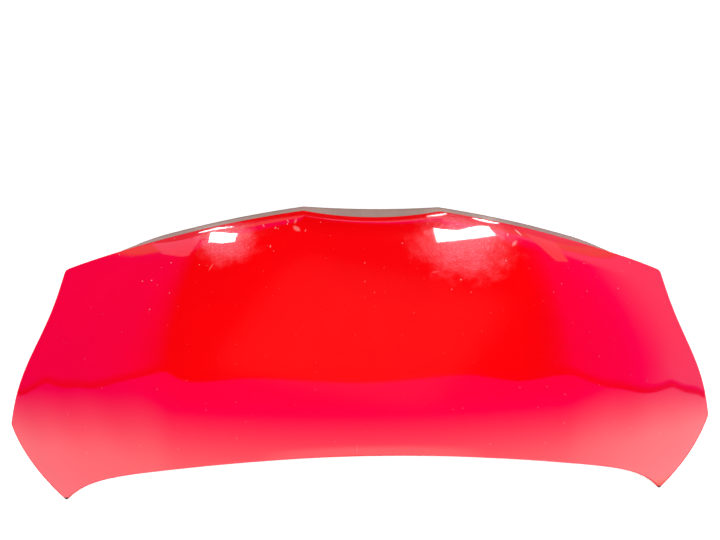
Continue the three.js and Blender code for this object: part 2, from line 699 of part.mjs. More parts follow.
function buildHinges(parent) {
  const bore = HINGE_THREAD + 2 * CLEARANCE;
  const seat = HINGE_PAD_Z + CLEARANCE;
  for (const side of [-1, 1]) {
    const shape = plate(HINGE_PLATE_LENGTH, HINGE_PLATE_WIDTH, HINGE_PLATE_CORNER);
    punched(shape, -HINGE_BOLT_PITCH / 2, 0, bore);
    punched(shape, HINGE_BOLT_PITCH / 2, 0, bore);
    const geometry = extruded(shape, HINGE_PLATE_THICKNESS);
    const mesh = addMesh(parent, `hinge_reinforcement_${sideName(side)}`, geometry, ZINC);
    mesh.position.set(side * hingeCentre.x, hingeCentre.y, seat);
  }
  hingeBolts.forEach(({ side, x, y }, k) => {
    const nut = weldNut(HINGE_NUT_FLATS, HINGE_NUT_HEIGHT, HINGE_THREAD);
    const mesh = addMesh(parent, `hinge_weld_nut_${sideName(side)}_${k % 2 + 1}`, nut, ZINC);
    mesh.position.set(x, y, seat + HINGE_PLATE_THICKNESS + CLEARANCE);
  });
}

// Hexagon flange bolt, head down, with its shank up through the plates
function strikerBolt(shankLength) {
  const radius = STRIKER_THREAD / 2;
  const flange = STRIKER_FLANGE / 2;
  const end = STRIKER_FLANGE_HEIGHT + shankLength;
  const turned = lathed([[0, 0], [flange, 0], [flange, STRIKER_FLANGE_RIM], [radius, STRIKER_FLANGE_HEIGHT],
    [radius, end - SHANK_CHAMFER_LENGTH], [radius - SHANK_CHAMFER, end], [0, end]]);
  const head = extruded(hexagon(STRIKER_NUT_FLATS), STRIKER_HEAD_HEIGHT + STRIKER_FLANGE_RIM / 2);
  const solid = toManifold(turned).add(toManifold(head.translate(0, 0, -STRIKER_HEAD_HEIGHT)));
  return toGeometry(solid).translate(0, 0, -STRIKER_FLANGE_HEIGHT);
}

function buildLatch(parent) {
  const bore = STRIKER_THREAD + 2 * CLEARANCE;
  const upper = LATCH_PAD_Z + CLEARANCE;
  const reinforcement = plate(LATCH_PLATE_LENGTH, LATCH_PLATE_WIDTH, LATCH_PLATE_CORNER);
  const striker = plate(STRIKER_PLATE_LENGTH, STRIKER_PLATE_WIDTH, STRIKER_PLATE_CORNER);
  for (const { x } of strikerBolts) {
    punched(reinforcement, x, 0, bore);
    punched(striker, x, 0, bore);
  }
  for (const side of [-1, 1]) {
    punched(striker, side * LOOP_PITCH / 2, 0, LOOP_WIRE + 2 * CLEARANCE);
  }
  const stiffener = extruded(reinforcement, LATCH_PLATE_THICKNESS);
  addMesh(parent, 'latch_reinforcement', stiffener, ZINC).position.set(0, latchCentre.y, upper);

  const plateTop = LATCH_PAD_Z - FRAME_SHEET - CLEARANCE;
  const plateBottom = plateTop - STRIKER_PLATE_THICKNESS;
  const base = addMesh(parent, 'striker_plate', extruded(striker, STRIKER_PLATE_THICKNESS), ZINC);
  base.position.set(0, latchCentre.y, plateBottom);

  const nutSeat = upper + LATCH_PLATE_THICKNESS + CLEARANCE;
  const boltSeat = plateBottom - CLEARANCE;
  for (const { side, x, y } of strikerBolts) {
    const nut = weldNut(STRIKER_NUT_FLATS, STRIKER_NUT_HEIGHT, bore);
    addMesh(parent, `striker_weld_nut_${sideName(side)}`, nut, ZINC).position.set(x, y, nutSeat);
    const bolt = strikerBolt(nutSeat - boltSeat + STRIKER_NUT_HEIGHT);
    addMesh(parent, `striker_bolt_${sideName(side)}`, bolt, ZINC).position.set(x, y, boltSeat);
  }
  addMesh(parent, 'striker_loop', strikerLoop(plateTop, plateBottom - LOOP_DROP), ZINC);
}

// Round wire bent into a U, its legs up through the striker plate
function strikerLoop(top, low) {
  const x = LOOP_PITCH / 2;
  const y = latchCentre.y;
  const bar = low + LOOP_WIRE / 2;
  const at = (u, z) => new THREE.Vector3(u, y, z);
  const path = new THREE.CurvePath();
  path.add(new THREE.LineCurve3(at(-x, top), at(-x, bar + LOOP_BEND)));
  const bend = (...points) => path.add(new THREE.QuadraticBezierCurve3(...points));
  bend(at(-x, bar + LOOP_BEND), at(-x, bar), at(-x + LOOP_BEND, bar));
  path.add(new THREE.LineCurve3(at(-x + LOOP_BEND, bar), at(x - LOOP_BEND, bar)));
  bend(at(x - LOOP_BEND, bar), at(x, bar), at(x, bar + LOOP_BEND));
  path.add(new THREE.LineCurve3(at(x, bar + LOOP_BEND), at(x, top)));
  const wire = new THREE.Shape().absarc(0, 0, LOOP_WIRE / 2, 0, 2 * Math.PI);
  return new THREE.ExtrudeGeometry(wire, {
    extrudePath: path,
    steps: LOOP_STEPS,
    curveSegments: CURVE_SEGMENTS,
  });
}

// Rubber

// Puts a turned piece on a seat, its z = 0 at the frame's lower face
function onSeat(mesh, seat) {
  mesh.quaternion.setFromUnitVectors(UP, seat.normal);
  mesh.position.copy(seat.point).addScaledVector(seat.normal, -FRAME_SHEET);
}

// Bump stop: a domed cushion below the frame, a neck through it and a bead above it
function bumpStop() {
  const r = STOP_DIAMETER / 2;
  const neck = STOP_NECK / 2;
  const bead = neck + STOP_BEAD;
  const tip = GROOVE_HEIGHT + STOP_TIP_HEIGHT;
  const dome = STOP_DOME.map(([share, height]) => [r * share, -STOP_HEIGHT * height]);
  return lathed([[0, -STOP_HEIGHT], ...dome, [r, -STOP_RIM], [r, -SEAT_GAP], [neck, -SEAT_GAP],
    [neck, GROOVE_HEIGHT], [bead, GROOVE_HEIGHT], [bead, GROOVE_HEIGHT + STOP_BEAD_HEIGHT],
    [neck - STOP_TIP_TAPER, tip], [0, tip]]);
}

// Blanking plug: a thin dished cap below the frame with a gripping lip through the hole
function blankingPlug() {
  const r = PLUG_DIAMETER / 2;
  const neck = PLUG_HOLE / 2 - CLEARANCE;
  const wall = neck - PLUG_WALL;
  const [floorLow, floorHigh] = PLUG_FLOOR;
  const [lip, tip] = PLUG_LIP_HEIGHTS.map((h) => GROOVE_HEIGHT + h);
  return lathed([[0, floorLow], [neck - PLUG_FLOOR_MARGIN, floorLow], [wall, -PLUG_CAP],
    [r - PLUG_RIM_TAPER, -PLUG_RIM], [r, -SEAT_GAP], [neck, -SEAT_GAP], [neck, GROOVE_HEIGHT],
    [neck + PLUG_LIP, lip], [neck - PLUG_RIM_TAPER, tip], [wall, tip], [wall, floorHigh], [0, floorHigh]]);
}

// Grommet that takes the tip of the prop rod
function propGrommet() {
  const bore = SOCKET_BORE / 2;
  const neck = SOCKET_OUTER / 2 - CLEARANCE;
  const rim = neck + SOCKET_RIM;
  const [face, edge] = SOCKET_DEPTHS;
  const tip = GROOVE_HEIGHT + SOCKET_TOP;
  return lathed([[bore, -face], [rim - SOCKET_CHAMFER, -face], [rim, -edge], [rim, -SEAT_GAP],
    [neck, -SEAT_GAP], [neck, GROOVE_HEIGHT], [rim - SOCKET_CHAMFER, GROOVE_HEIGHT],
    [neck - SOCKET_CHAMFER, tip], [bore, tip], [bore, -face]]);
}

function buildRubber(parent) {
  for (const [name, s, t] of stopSeats) {
    onSeat(addMesh(parent, name, bumpStop(), RUBBER), frameSeat(s, t));
  }
  for (const [name, s, t] of plugSeats) {
    onSeat(addMesh(parent, name, blankingPlug(), RUBBER), frameSeat(s, t));
  }
  onSeat(addMesh(parent, socketSeat[0], propGrommet(), RUBBER), frameSeat(socketSeat[1], socketSeat[2]));
}

// Mastic dabs on the window flanges hold the skin still over the ribs.
function buildMastic(parent) {
  const height = FLANGE_DEPTH - 2 * SHEET_CLEARANCE;
  const radius = MASTIC_DIAMETER / 2;
  const flange = RIB_BASE + RIB_RAMP + RIB_FLANGE / 2;
  const columns = [['inner', INNER_RIB_S - flange], ['outer', OUTER_RIB_S - flange]];
  for (const side of [-1, 1]) {
    for (const [column, s] of columns) {
      MASTIC_ROWS_T.forEach((t, k) => {
        const seat = frameSeat(side * s, t);
        const dab = new THREE.CylinderGeometry(radius, radius, height, MASTIC_SIDES).rotateX(Math.PI / 2);
        const mesh = addMesh(parent, `mastic_${column}_${sideName(side)}_${k + 1}`, dab, MASTIC);
        mesh.quaternion.setFromUnitVectors(UP, seat.normal);
        mesh.position.copy(seat.point).addScaledVector(seat.normal, FLANGE_DEPTH / 2);
      });
    }
  }
}

const bonnet = new THREE.Group();
buildSkin(bonnet);
buildFrame(bonnet);
buildHinges(bonnet);
buildLatch(bonnet);
buildRubber(bonnet);
buildMastic(bonnet);

// The origin is the middle of the footprint, on the surface that the bonnet lies on.
const extent = new THREE.Box3().setFromObject(bonnet, true);
const middle = extent.getCenter(new THREE.Vector3());
bonnet.position.set(-middle.x, -middle.y, -extent.min.z);

export default bonnet;
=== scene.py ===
"""Dressed model of a pressed steel car bonnet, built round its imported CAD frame.

Metres, in the CAD's own frame: +X across the car, +Y towards the nose, +Z up out of the outer face.
The bonnet lies outer face up on a pale floor, and the camera looks down on it.
"""

import logging
import math
from collections.abc import Callable
from dataclasses import dataclass, field
from enum import Enum

import bpy
import numpy as np
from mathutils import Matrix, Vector


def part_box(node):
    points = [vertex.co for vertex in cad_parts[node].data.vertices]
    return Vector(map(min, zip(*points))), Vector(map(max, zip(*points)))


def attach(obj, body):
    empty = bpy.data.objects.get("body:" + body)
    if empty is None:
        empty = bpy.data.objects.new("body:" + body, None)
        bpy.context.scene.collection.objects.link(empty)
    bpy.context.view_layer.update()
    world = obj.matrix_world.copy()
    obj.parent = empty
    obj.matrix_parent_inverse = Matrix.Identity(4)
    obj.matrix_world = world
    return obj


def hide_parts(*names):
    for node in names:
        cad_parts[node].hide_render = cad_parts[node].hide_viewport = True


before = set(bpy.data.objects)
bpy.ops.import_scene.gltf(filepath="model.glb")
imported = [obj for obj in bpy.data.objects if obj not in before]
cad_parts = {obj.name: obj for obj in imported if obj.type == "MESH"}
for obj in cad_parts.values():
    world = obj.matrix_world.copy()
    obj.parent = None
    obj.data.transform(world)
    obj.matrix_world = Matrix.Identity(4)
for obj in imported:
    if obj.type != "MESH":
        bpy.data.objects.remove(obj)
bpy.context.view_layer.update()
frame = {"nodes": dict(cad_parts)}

BODY = "root"
MM = 0.001

log = logging.getLogger("bonnet")

Edge = Callable[[np.ndarray], np.ndarray]
Reshape = Callable[[np.ndarray, np.ndarray, np.ndarray], np.ndarray]


class Slot(Enum):
    """The record's material slots."""

    SKIN = "skin_paint"
    FRAME = "frame_primer"
    ZINC = "zinc_steel"
    RUBBER = "rubber"
    MASTIC = "mastic"


class Side(Enum):
    """The two halves of the bonnet, with the sign of X on each."""

    LEFT = -1
    RIGHT = 1

    @property
    def word(self) -> str:
        """The side's name as the CAD nodes spell it."""
        return self.name.lower()


# Curves shared by the forms


def smoothstep(value: np.ndarray, low: float, high: float) -> np.ndarray:
    """Rises from 0 at low to 1 at high along 3u^2 - 2u^3.

    Args:
        value: Numbers to shape.
        low: Where the rise begins.
        high: Where the rise ends.

    Returns:
        An array between 0 and 1.
    """
    u = np.clip((value - low) / (high - low), 0.0, 1.0)
    return u * u * (3.0 - 2.0 * u)


def lerp(low: np.ndarray, high: np.ndarray, share: np.ndarray) -> np.ndarray:
    """Straight mix of low and high by share."""
    return low + (high - low) * share


def channel(value: np.ndarray, wall_low: float, base_low: float, base_high: float,
            wall_high: float) -> np.ndarray:
    """Pressed channel: 1 on its base, 0 on both flanges, with S-shaped walls.

    Args:
        value: Positions across the channel.
        wall_low: Where the first wall starts.
        base_low: Where the base starts.
        base_high: Where the base ends.
        wall_high: Where the second wall ends.

    Returns:
        The share of the channel's depth at each position.
    """
    rise = smoothstep(value, wall_low, base_low)
    fall = 1.0 - smoothstep(value, base_high, wall_high)
    return np.minimum(rise, fall)


def spaced_lines(stops: list[float], steps: list[float]) -> np.ndarray:
    """Grid lines through every stop, with about the given step in each gap between stops.

    Args:
        stops: Increasing positions that need a line of their own.
        steps: Target spacing in each gap.

    Returns:
        The line positions, increasing.
    """
    runs = [
        np.linspace(low, high, max(2, round((high - low) / step) + 1))[:-1]
        for low, high, step in zip(stops[:-1], stops[1:], steps)
    ]
    return np.concatenate([*runs, [stops[-1]]])


# Forms of the two sheets


@dataclass(frozen=True)
class PanelForm:
    """Plan outline and crown of the pressing, from the line through its rear tips."""

    half_width: float = 0.705
    tip_x: float = 0.598
    widest_y: float = 0.151
    cut_straightness: float = 0.52
    front_corner_x: float = 0.602
    front_corner_y: float = 0.453
    side_wave: float = 0.007
    rear_centre_y: float = 0.106
    rear_bow: float = 0.070
    tip_sharpness: float = 14.0
    peak_x: float = 0.134
    peak_y: float = 0.569
    notch_depth: float = 0.013
    peak_slope: float = 0.149
    crown_height: float = 0.112
    crown_y: float = 0.258
    cross_radius: float = 3.0
    length_radius: float = 0.8
    crease_x: float = 0.385
    crease_pull: float = 0.073
    crease_start_y: float = 0.250
    crease_power: float = 1.6
    crease_slopes: tuple[float, float] = (0.05, 0.12)
    crease_softness: float = 0.024
    nose_roll_length: float = 0.045
    nose_roll_drop: float = 0.016
    nose_roll_fade_x: float = 0.330
    rear_roll_length: float = 0.024
    rear_roll_drop: float = 0.003
    rear_roll_half_width: float = 0.215
    slope_step: float = 0.0005

    def rear_edge(self, x: np.ndarray) -> np.ndarray:
        """Y of the rear edge: a shallow parabola, less a 14th power that dives into the tips."""
        u = np.minimum(np.abs(x) / self.tip_x, 1.0)
        dive = (self.rear_centre_y - self.rear_bow) * u**self.tip_sharpness
        return self.rear_centre_y - self.rear_bow * u**2 - dive

    def side_edge(self, y: np.ndarray) -> np.ndarray:
        """X of the side edge: a bowed cut behind the widest point, then a line with one shallow wave."""
        u = np.clip((self.widest_y - y) / self.widest_y, 0.0, None)
        bow = self.cut_straightness * u + (1.0 - self.cut_straightness) * u * u
        cut = self.half_width - (self.half_width - self.tip_x) * bow
        v = (y - self.widest_y) / (self.front_corner_y - self.widest_y)
        flank = lerp(self.half_width, self.front_corner_x, v)
        flank = flank + self.side_wave * np.sin(2.0 * np.pi * v)
        return np.where(y < self.widest_y, cut, flank)

    def front_edge(self, x: np.ndarray) -> np.ndarray:
        """Y of the nose edge: a parabolic notch between two peaks, then a falling parabola."""
        a = np.abs(x)
        run = self.front_corner_x - self.peak_x
        bend = (self.peak_y - self.front_corner_y - self.peak_slope * run) / run**2
        notch = self.peak_y - self.notch_depth * (1.0 - (a / self.peak_x) ** 2)
        fall = self.peak_y - self.peak_slope * (a - self.peak_x) - bend * (a - self.peak_x) ** 2
        return np.where(a < self.peak_x, notch, fall)

    def crease_line(self, y: np.ndarray) -> np.ndarray:
        """X of the character line, which draws in towards the nose by a power law."""
        run = np.clip(y - self.crease_start_y, 0.0, None) / (self.peak_y - self.crease_start_y)
        return self.crease_x - self.crease_pull * run**self.crease_power

    def height(self, x: np.ndarray, y: np.ndarray) -> np.ndarray:
        """Height of the outer face: two arcs, a hyperbolic bend at each crease and rolled edges."""
        beyond = np.abs(x) - self.crease_line(y)
        bend = (np.hypot(beyond, self.crease_softness) + beyond) / 2.0
        slope = lerp(*self.crease_slopes, np.clip(y / self.front_corner_y, 0.0, 1.0))
        nose = np.clip(1.0 - (self.front_edge(x) - y) / self.nose_roll_length, 0.0, None)
        fade = 1.0 - smoothstep(np.abs(x), self.nose_roll_fade_x, self.front_corner_x)
        tail = np.clip(1.0 - (y - self.rear_edge(x)) / self.rear_roll_length, 0.0, 1.0)
        tail_width = np.clip(1.0 - (x / self.rear_roll_half_width) ** 2, 0.0, None)
        crown = x * x / (2.0 * self.cross_radius) + (y - self.crown_y) ** 2 / (2.0 * self.length_radius)
        rolls = self.nose_roll_drop * fade * nose**2 + self.rear_roll_drop * tail_width * tail**2
        return self.crown_height - crown - slope * bend - rolls

    def normal(self, x: np.ndarray, y: np.ndarray) -> np.ndarray:
        """Upward unit normal of the outer face, from central differences of its height."""
        h = self.slope_step
        dx = (self.height(x + h, y) - self.height(x - h, y)) / (2.0 * h)
        dy = (self.height(x, y + h) - self.height(x, y - h)) / (2.0 * h)
        raw = np.stack([-dx, -dy, np.ones_like(dx)], axis=-1)
        return raw / np.linalg.norm(raw, axis=-1, keepdims=True)

    def below(self, xy: np.ndarray, depth: np.ndarray) -> np.ndarray:
        """Points at a depth under the outer face, measured square to it at the plan points xy."""
        x, y = xy[..., 0], xy[..., 1]
        face = np.stack([x, y, self.height(x, y)], axis=-1)
        return face - self.normal(x, y) * np.asarray(depth)[..., None]

    def level_below(self, xy: np.ndarray, depth: np.ndarray) -> np.ndarray:
        """Heights straight under the plan points xy that lie a depth square to the outer face."""
        x, y = xy[..., 0], xy[..., 1]
        return self.height(x, y) - depth / self.normal(x, y)[..., 2]

    def plan(self, s: np.ndarray, t: np.ndarray) -> np.ndarray:
        """Plan patch of the skin: rear and nose edges mixed by t, with the side's bulge added as s^3."""
        return patch(s, t, self.rear_edge, self.front_edge, self.side_edge, self.tip_x,
                     self.front_corner_x)


def patch(s: np.ndarray, t: np.ndarray, rear: Edge, front: Edge, side: Edge, rear_corner: float,
          front_corner: float) -> np.ndarray:
    """Plan patch between four edges, s from -1 to 1 across and t from 0 to 1 forward.

    Args:
        s: Positions across the patch.
        t: Positions along the patch.
        rear: Function that gives Y of the rear edge at X.
        front: Function that gives Y of the front edge at X.
        side: Function that gives X of the side edge at Y.
        rear_corner: X of the rear corner.
        front_corner: X of the front corner.

    Returns:
        Plan points, with X and Y on the last axis.
    """
    y = lerp(rear(s * rear_corner), front(s * front_corner), t)
    corner_y = lerp(rear(np.float64(rear_corner)), front(np.float64(front_corner)), t)
    bulge = side(corner_y) - lerp(rear_corner, front_corner, t)
    return np.stack([s * lerp(rear_corner, front_corner, t) + bulge * s**3, y], axis=-1)


@dataclass(frozen=True)
class FrameForm:
    """The inner frame's plan, its channels and pads, and where things seat on it."""

    panel: PanelForm
    skin_sheet: float = 0.8 * MM
    frame_sheet: float = 0.9 * MM
    clearance: float = 0.5 * MM
    nose_return: float = 1.1 * MM
    edge_clearance: float = 2.8 * MM
    tip_crop_y: float = 18 * MM
    lip_width: float = 9 * MM
    notch_fill: float = 9 * MM
    lip_fade: tuple[float, float] = (0.400, 0.550)
    lip_setback: float = 5 * MM
    flange_depth: float = 2.5 * MM
    channel_depth: float = 18 * MM
    side_channel_depth: float = 11 * MM
    rib_base: float = 0.022
    rib_ramp: float = 0.018
    rib_flange: float = 0.022
    outer_rib: float = 0.57
    side_rows: tuple[float, ...] = (0.836, 0.858, 0.88, 0.943, 0.965)
    rear_rows: tuple[float, ...] = (0.03, 0.055, 0.17, 0.2, 0.235)
    front_rows: tuple[float, ...] = (0.7, 0.735, 0.765, 0.9, 0.93)
    hinge_pad: tuple[float, float] = (0.77, 0.88)
    hinge_pad_ramps: tuple[float, float] = (0.752, 0.943)
    latch_pad: float = 0.14
    latch_pad_ramp: float = 0.161
    latch_pad_extra: float = 3 * MM
    latch_setback: float = 62 * MM

    @property
    def side_end_y(self) -> float:
        """Y where the frame's side edge ends at the nose."""
        return self.panel.front_corner_y - self.lip_setback

    @property
    def front_corner_x(self) -> float:
        """X of the frame's front corner."""
        return float(self.side_edge(np.float64(self.side_end_y)))

    @property
    def inner_rib(self) -> float:
        """Middle of the inner rib, as s, behind the nose's peak."""
        return self.panel.peak_x / self.front_corner_x

    def rear_edge(self, x: np.ndarray) -> np.ndarray:
        """Y of the rear edge, inside the hem and cropped short of the tips."""
        return np.maximum(self.panel.rear_edge(x) + self.edge_clearance, self.tip_crop_y)

    def side_edge(self, y: np.ndarray) -> np.ndarray:
        """X of the side edge, inside the hem."""
        return self.panel.side_edge(y) - self.edge_clearance

    def front_edge(self, x: np.ndarray) -> np.ndarray:
        """Y of the front lip, which runs past the nose, fills its notch and draws back outboard."""
        a = np.abs(x)
        fade = 1.0 - smoothstep(a, *self.lip_fade)
        fill = self.notch_fill * np.clip(1.0 - (a / self.panel.peak_x) ** 2, 0.0, None)
        return self.panel.front_edge(x) + lerp(-self.lip_setback, self.lip_width, fade) + fill

    def plan(self, s: np.ndarray, t: np.ndarray) -> np.ndarray:
        """Plan patch of the frame between its own four edges."""
        rear_corner = float(self.side_edge(np.float64(self.tip_crop_y)))
        return patch(s, t, self.rear_edge, self.front_edge, self.side_edge, rear_corner,
                     self.front_corner_x)

    def rib(self, a: np.ndarray, centre: float) -> np.ndarray:
        """Share of a rib's depth at a distance a from the middle of the bonnet."""
        wall = self.rib_base + self.rib_ramp
        return channel(a, centre - wall, centre - self.rib_base, centre + self.rib_base, centre + wall)

    def depth(self, s: np.ndarray, t: np.ndarray) -> np.ndarray:
        """Depth of the frame below the skin's inner face: flanges, ribs, channels and hemmed rims."""
        a = np.abs(s)
        side, rear, front = self.side_rows, self.rear_rows, self.front_rows
        across = np.maximum(self.rib(a, self.inner_rib), self.rib(a, self.outer_rib))
        along = np.maximum(channel(t, *rear[:4]), channel(t, *front[1:]))
        outboard = smoothstep(a, side[2], side[3])
        base = lerp(self.channel_depth, self.side_channel_depth, outboard)
        ribbed = lerp(self.flange_depth, base, np.maximum(across, along))
        flank = lerp(self.flange_depth, self.side_channel_depth, channel(a, *side[1:]))
        rim = np.maximum(smoothstep(a, side[3], side[4]), 1.0 - smoothstep(t, rear[0], rear[1]))
        hemmed = lerp(np.maximum(ribbed, flank), self.clearance, rim)
        nose = smoothstep(t, front[3], front[4])
        return lerp(hemmed, self.nose_return + self.clearance, nose)

    def latch_centre(self) -> tuple[float, float]:
        """Plan point at the middle of the latch pad."""
        return 0.0, float(self.panel.front_edge(np.float64(0.0))) - self.latch_setback

    def hinge_centre(self) -> np.ndarray:
        """Plan point at the middle of the right hinge pad."""
        return self.plan(np.float64(sum(self.hinge_pad) / 2), np.float64(sum(self.rear_rows[1:3]) / 2))

    def latch_level(self) -> float:
        """Height of the latch pad's upper face."""
        depth = self.skin_sheet + self.channel_depth + self.latch_pad_extra
        return float(self.panel.level_below(np.array(self.latch_centre()), depth))

    def hinge_level(self) -> float:
        """Height of the hinge pads' upper face."""
        return float(self.panel.level_below(self.hinge_centre(), self.skin_sheet + self.channel_depth))

    def upper_face(self, s: np.ndarray, t: np.ndarray, xy: np.ndarray) -> np.ndarray:
        """Height of the frame's upper face: it follows the skin, with level pads mixed in.

        Args:
            s: Positions across the patch.
            t: Positions along the patch.
            xy: Plan points of the same grid.

        Returns:
            Heights of the upper face.
        """
        follow = self.panel.level_below(xy, self.skin_sheet + self.depth(s, t))
        a = np.abs(s)
        on_latch = (1.0 - smoothstep(a, self.latch_pad, self.latch_pad_ramp)) * channel(
            t, *self.front_rows[1:])
        on_hinge = channel(a, self.hinge_pad_ramps[0], *self.hinge_pad, self.hinge_pad_ramps[1])
        on_hinge = on_hinge * channel(t, *self.rear_rows[:4])
        return lerp(lerp(follow, self.latch_level(), on_latch), self.hinge_level(), on_hinge)

    def seat(self, s: float, t: float) -> tuple[np.ndarray, np.ndarray]:
        """Point on the frame's lower face at (s, t), and the direction square to it."""
        xy = self.plan(np.float64(s), np.float64(t))
        normal = self.panel.normal(xy[0], xy[1])
        depth = self.skin_sheet + self.depth(np.float64(s), np.float64(t))
        point = np.array([xy[0], xy[1], self.panel.level_below(xy, depth)])
        return point - normal * self.frame_sheet, normal

    def windows(self) -> list[tuple[float, float]]:
        """Spans in s of the five windows between the ribs."""
        wall = self.rib_base + self.rib_ramp + self.rib_flange
        middle = (self.inner_rib + wall, self.outer_rib - wall)
        outer = (self.outer_rib + wall, self.side_rows[0])
        centre = (-(self.inner_rib - wall), self.inner_rib - wall)
        return [centre, middle, outer, (-middle[1], -middle[0]), (-outer[1], -outer[0])]


@dataclass(frozen=True)
class Placement:
    """Moves points from the forms' own origin, at the rear tips, to the part's frame."""

    shift: tuple[float, float, float]

    @classmethod
    def on_cad(cls, panel: PanelForm) -> "Placement":
        """Fits the form to the CAD skin's box: its rear tips and its crown."""
        low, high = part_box("outer_skin")
        crown = float(panel.height(np.float64(0.0), np.float64(panel.crown_y)))
        return cls((0.0, low.y, high.z - crown))

    def __call__(self, points: np.ndarray) -> np.ndarray:
        """The points in the part's frame."""
        return np.asarray(points) + np.array(self.shift)


# Mesh building


def make_piece(name: str, points: np.ndarray, faces: np.ndarray, finish: bpy.types.Material,
               nodes: list[str], sharp_degrees: float = 35.0) -> bpy.types.Object:
    """Makes one finished piece that rides on the bonnet's body and stands for CAD nodes.

    Args:
        name: The piece's name.
        points: Vertices in the part's frame, one to a row.
        faces: Vertex numbers, four to a row, the last repeated for a triangle.
        finish: The material.
        nodes: CAD nodes that the piece stands for.
        sharp_degrees: Edges bent by more than this are shaded sharp.

    Returns:
        The piece's object.
    """
    mesh = bpy.data.meshes.new(name)
    mesh.from_pydata(points.tolist(), [], [list(dict.fromkeys(f)) for f in faces.tolist()])
    mesh.validate()
    mesh.shade_smooth()
    mesh.set_sharp_from_angle(angle=math.radians(sharp_degrees))
    mesh.materials.append(finish)
    piece = bpy.data.objects.new(name, mesh)
    bpy.context.scene.collection.objects.link(piece)
    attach(piece, BODY)
    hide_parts(*nodes)
    log.info("%s: %d faces", name, len(mesh.polygons))
    return piece


def grid_numbers(columns: int, rows: int) -> np.ndarray:
    """Vertex numbers of a grid, by column and row."""
    return np.arange(columns * rows).reshape(columns, rows)


def cells(numbers: np.ndarray) -> np.ndarray:
    """Quads of a grid of vertex numbers, anticlockwise where columns run to +X and rows to +Y."""
    return np.stack([numbers[:-1, :-1], numbers[1:, :-1], numbers[1:, 1:], numbers[:-1, 1:]], axis=-1)


def sheet_faces(metal: np.ndarray) -> np.ndarray:
    """Faces of a closed sheet over the cells marked as metal, with walls wherever metal ends.

    Args:
        metal: True for each cell of the grid that the sheet covers.

    Returns:
        Quads on an upper grid of vertices followed by a lower one.
    """
    columns, rows = metal.shape[0] + 1, metal.shape[1] + 1
    upper = grid_numbers(columns, rows)
    lower = upper + columns * rows
    parts = [cells(upper)[metal], cells(lower)[metal][:, ::-1]]
    ahead = np.pad(metal, ((0, 0), (0, 1)))
    behind = np.pad(metal, ((0, 0), (1, 0)))
    a, b = upper[:-1, :], upper[1:, :]
    c, d = lower[:-1, :], lower[1:, :]
    parts.append(np.stack([c, d, b, a], axis=-1)[ahead & ~behind])
    parts.append(np.stack([d, c, a, b], axis=-1)[behind & ~ahead])
    right = np.pad(metal, ((0, 1), (0, 0)))
    left = np.pad(metal, ((1, 0), (0, 0)))
    a, b = upper[:, :-1], upper[:, 1:]
    c, d = lower[:, :-1], lower[:, 1:]
    parts.append(np.stack([d, c, a, b], axis=-1)[right & ~left])
    parts.append(np.stack([c, d, b, a], axis=-1)[left & ~right])
    return np.concatenate(parts)


def carried_inward(rim_moves: np.ndarray, lines: int) -> np.ndarray:
    """Spreads the moves of a grid's rim over its first lines, as a Coons patch with fading weights.

    Each point takes the move of the rim point on its own line and column, times a weight that falls from
    1 at the rim to 0 some lines in, and the corners' share, which both would add, is taken off once.

    Args:
        rim_moves: Moves by grid point, given on the rim only.
        lines: How many lines in the moves reach.

    Returns:
        Moves by grid point.
    """
    columns, rows = rim_moves.shape[:2]
    column_fade = 1.0 - smoothstep(np.arange(columns, dtype=float), 0.0, lines)[:, None, None]
    row_fade = 1.0 - smoothstep(np.arange(rows, dtype=float), 0.0, lines)[None, :, None]
    total = np.zeros_like(rim_moves)
    for i, by_column in ((0, column_fade), (-1, column_fade[::-1])):
        total = total + by_column * rim_moves[i][None, :, :]
        for j, by_row in ((0, row_fade), (-1, row_fade[:, ::-1])):
            total = total - by_column * by_row * rim_moves[i, j]
    for j, by_row in ((0, row_fade), (-1, row_fade[:, ::-1])):
        total = total + by_row * rim_moves[:, j][:, None, :]
    return total


def drop_unused(points: np.ndarray, faces: np.ndarray) -> tuple[np.ndarray, np.ndarray]:
    """Leaves out the vertices that no face uses."""
    used, renumbered = np.unique(faces, return_inverse=True)
    return points[used], renumbered.reshape(faces.shape)


def round_corner(xy: np.ndarray, corner: np.ndarray, along: np.ndarray, forward: np.ndarray,
                 reach: float, spread: float) -> np.ndarray:
    """Rounds one corner of a plan grid by a quadratic curve.

    A point at share k of the reach along either edge moves by reach/4 (1 - k)^2 along both edges,
    and points on the far side of the edges move less, down to nothing at the spread.

    Args:
        xy: Plan points.
        corner: Plan point of the corner.
        along: Direction of one edge, away from the corner.
        forward: Direction of the other edge, away from the corner.
        reach: Length of each edge that the curve takes up.
        spread: Distance over which the sheet outside the corner follows.

    Returns:
        The moved plan points.
    """
    along = along / np.linalg.norm(along)
    forward = forward / np.linalg.norm(forward)
    local = (xy - corner) @ np.linalg.inv(np.stack([along, forward]))
    u, v = local[..., 0], local[..., 1]
    k = np.clip(np.maximum(u, v) / reach, 0.0, 1.0)
    outside = np.clip(-np.minimum(u, v) / spread, 0.0, 1.0)
    move = reach / 4.0 * (1.0 - k) ** 2 * (1.0 - outside) ** 2
    return xy + move[..., None] * (along + forward)


def tilted(points: np.ndarray, foot: np.ndarray, normal: np.ndarray) -> np.ndarray:
    """Stands points, made about the Z axis, on a foot with their axis along the normal.

    Args:
        points: Vertices of the upright shape.
        foot: Where its origin goes.
        normal: Unit direction of its axis.

    Returns:
        The turned and moved vertices.
    """
    axis = np.cross([0.0, 0.0, 1.0], normal)
    x, y, z = axis
    skew = np.array([[0.0, -z, y], [z, 0.0, -x], [-y, x, 0.0]])
    turn = np.eye(3) + skew + skew @ skew / (1.0 + normal[2])
    return points @ turn.T + foot


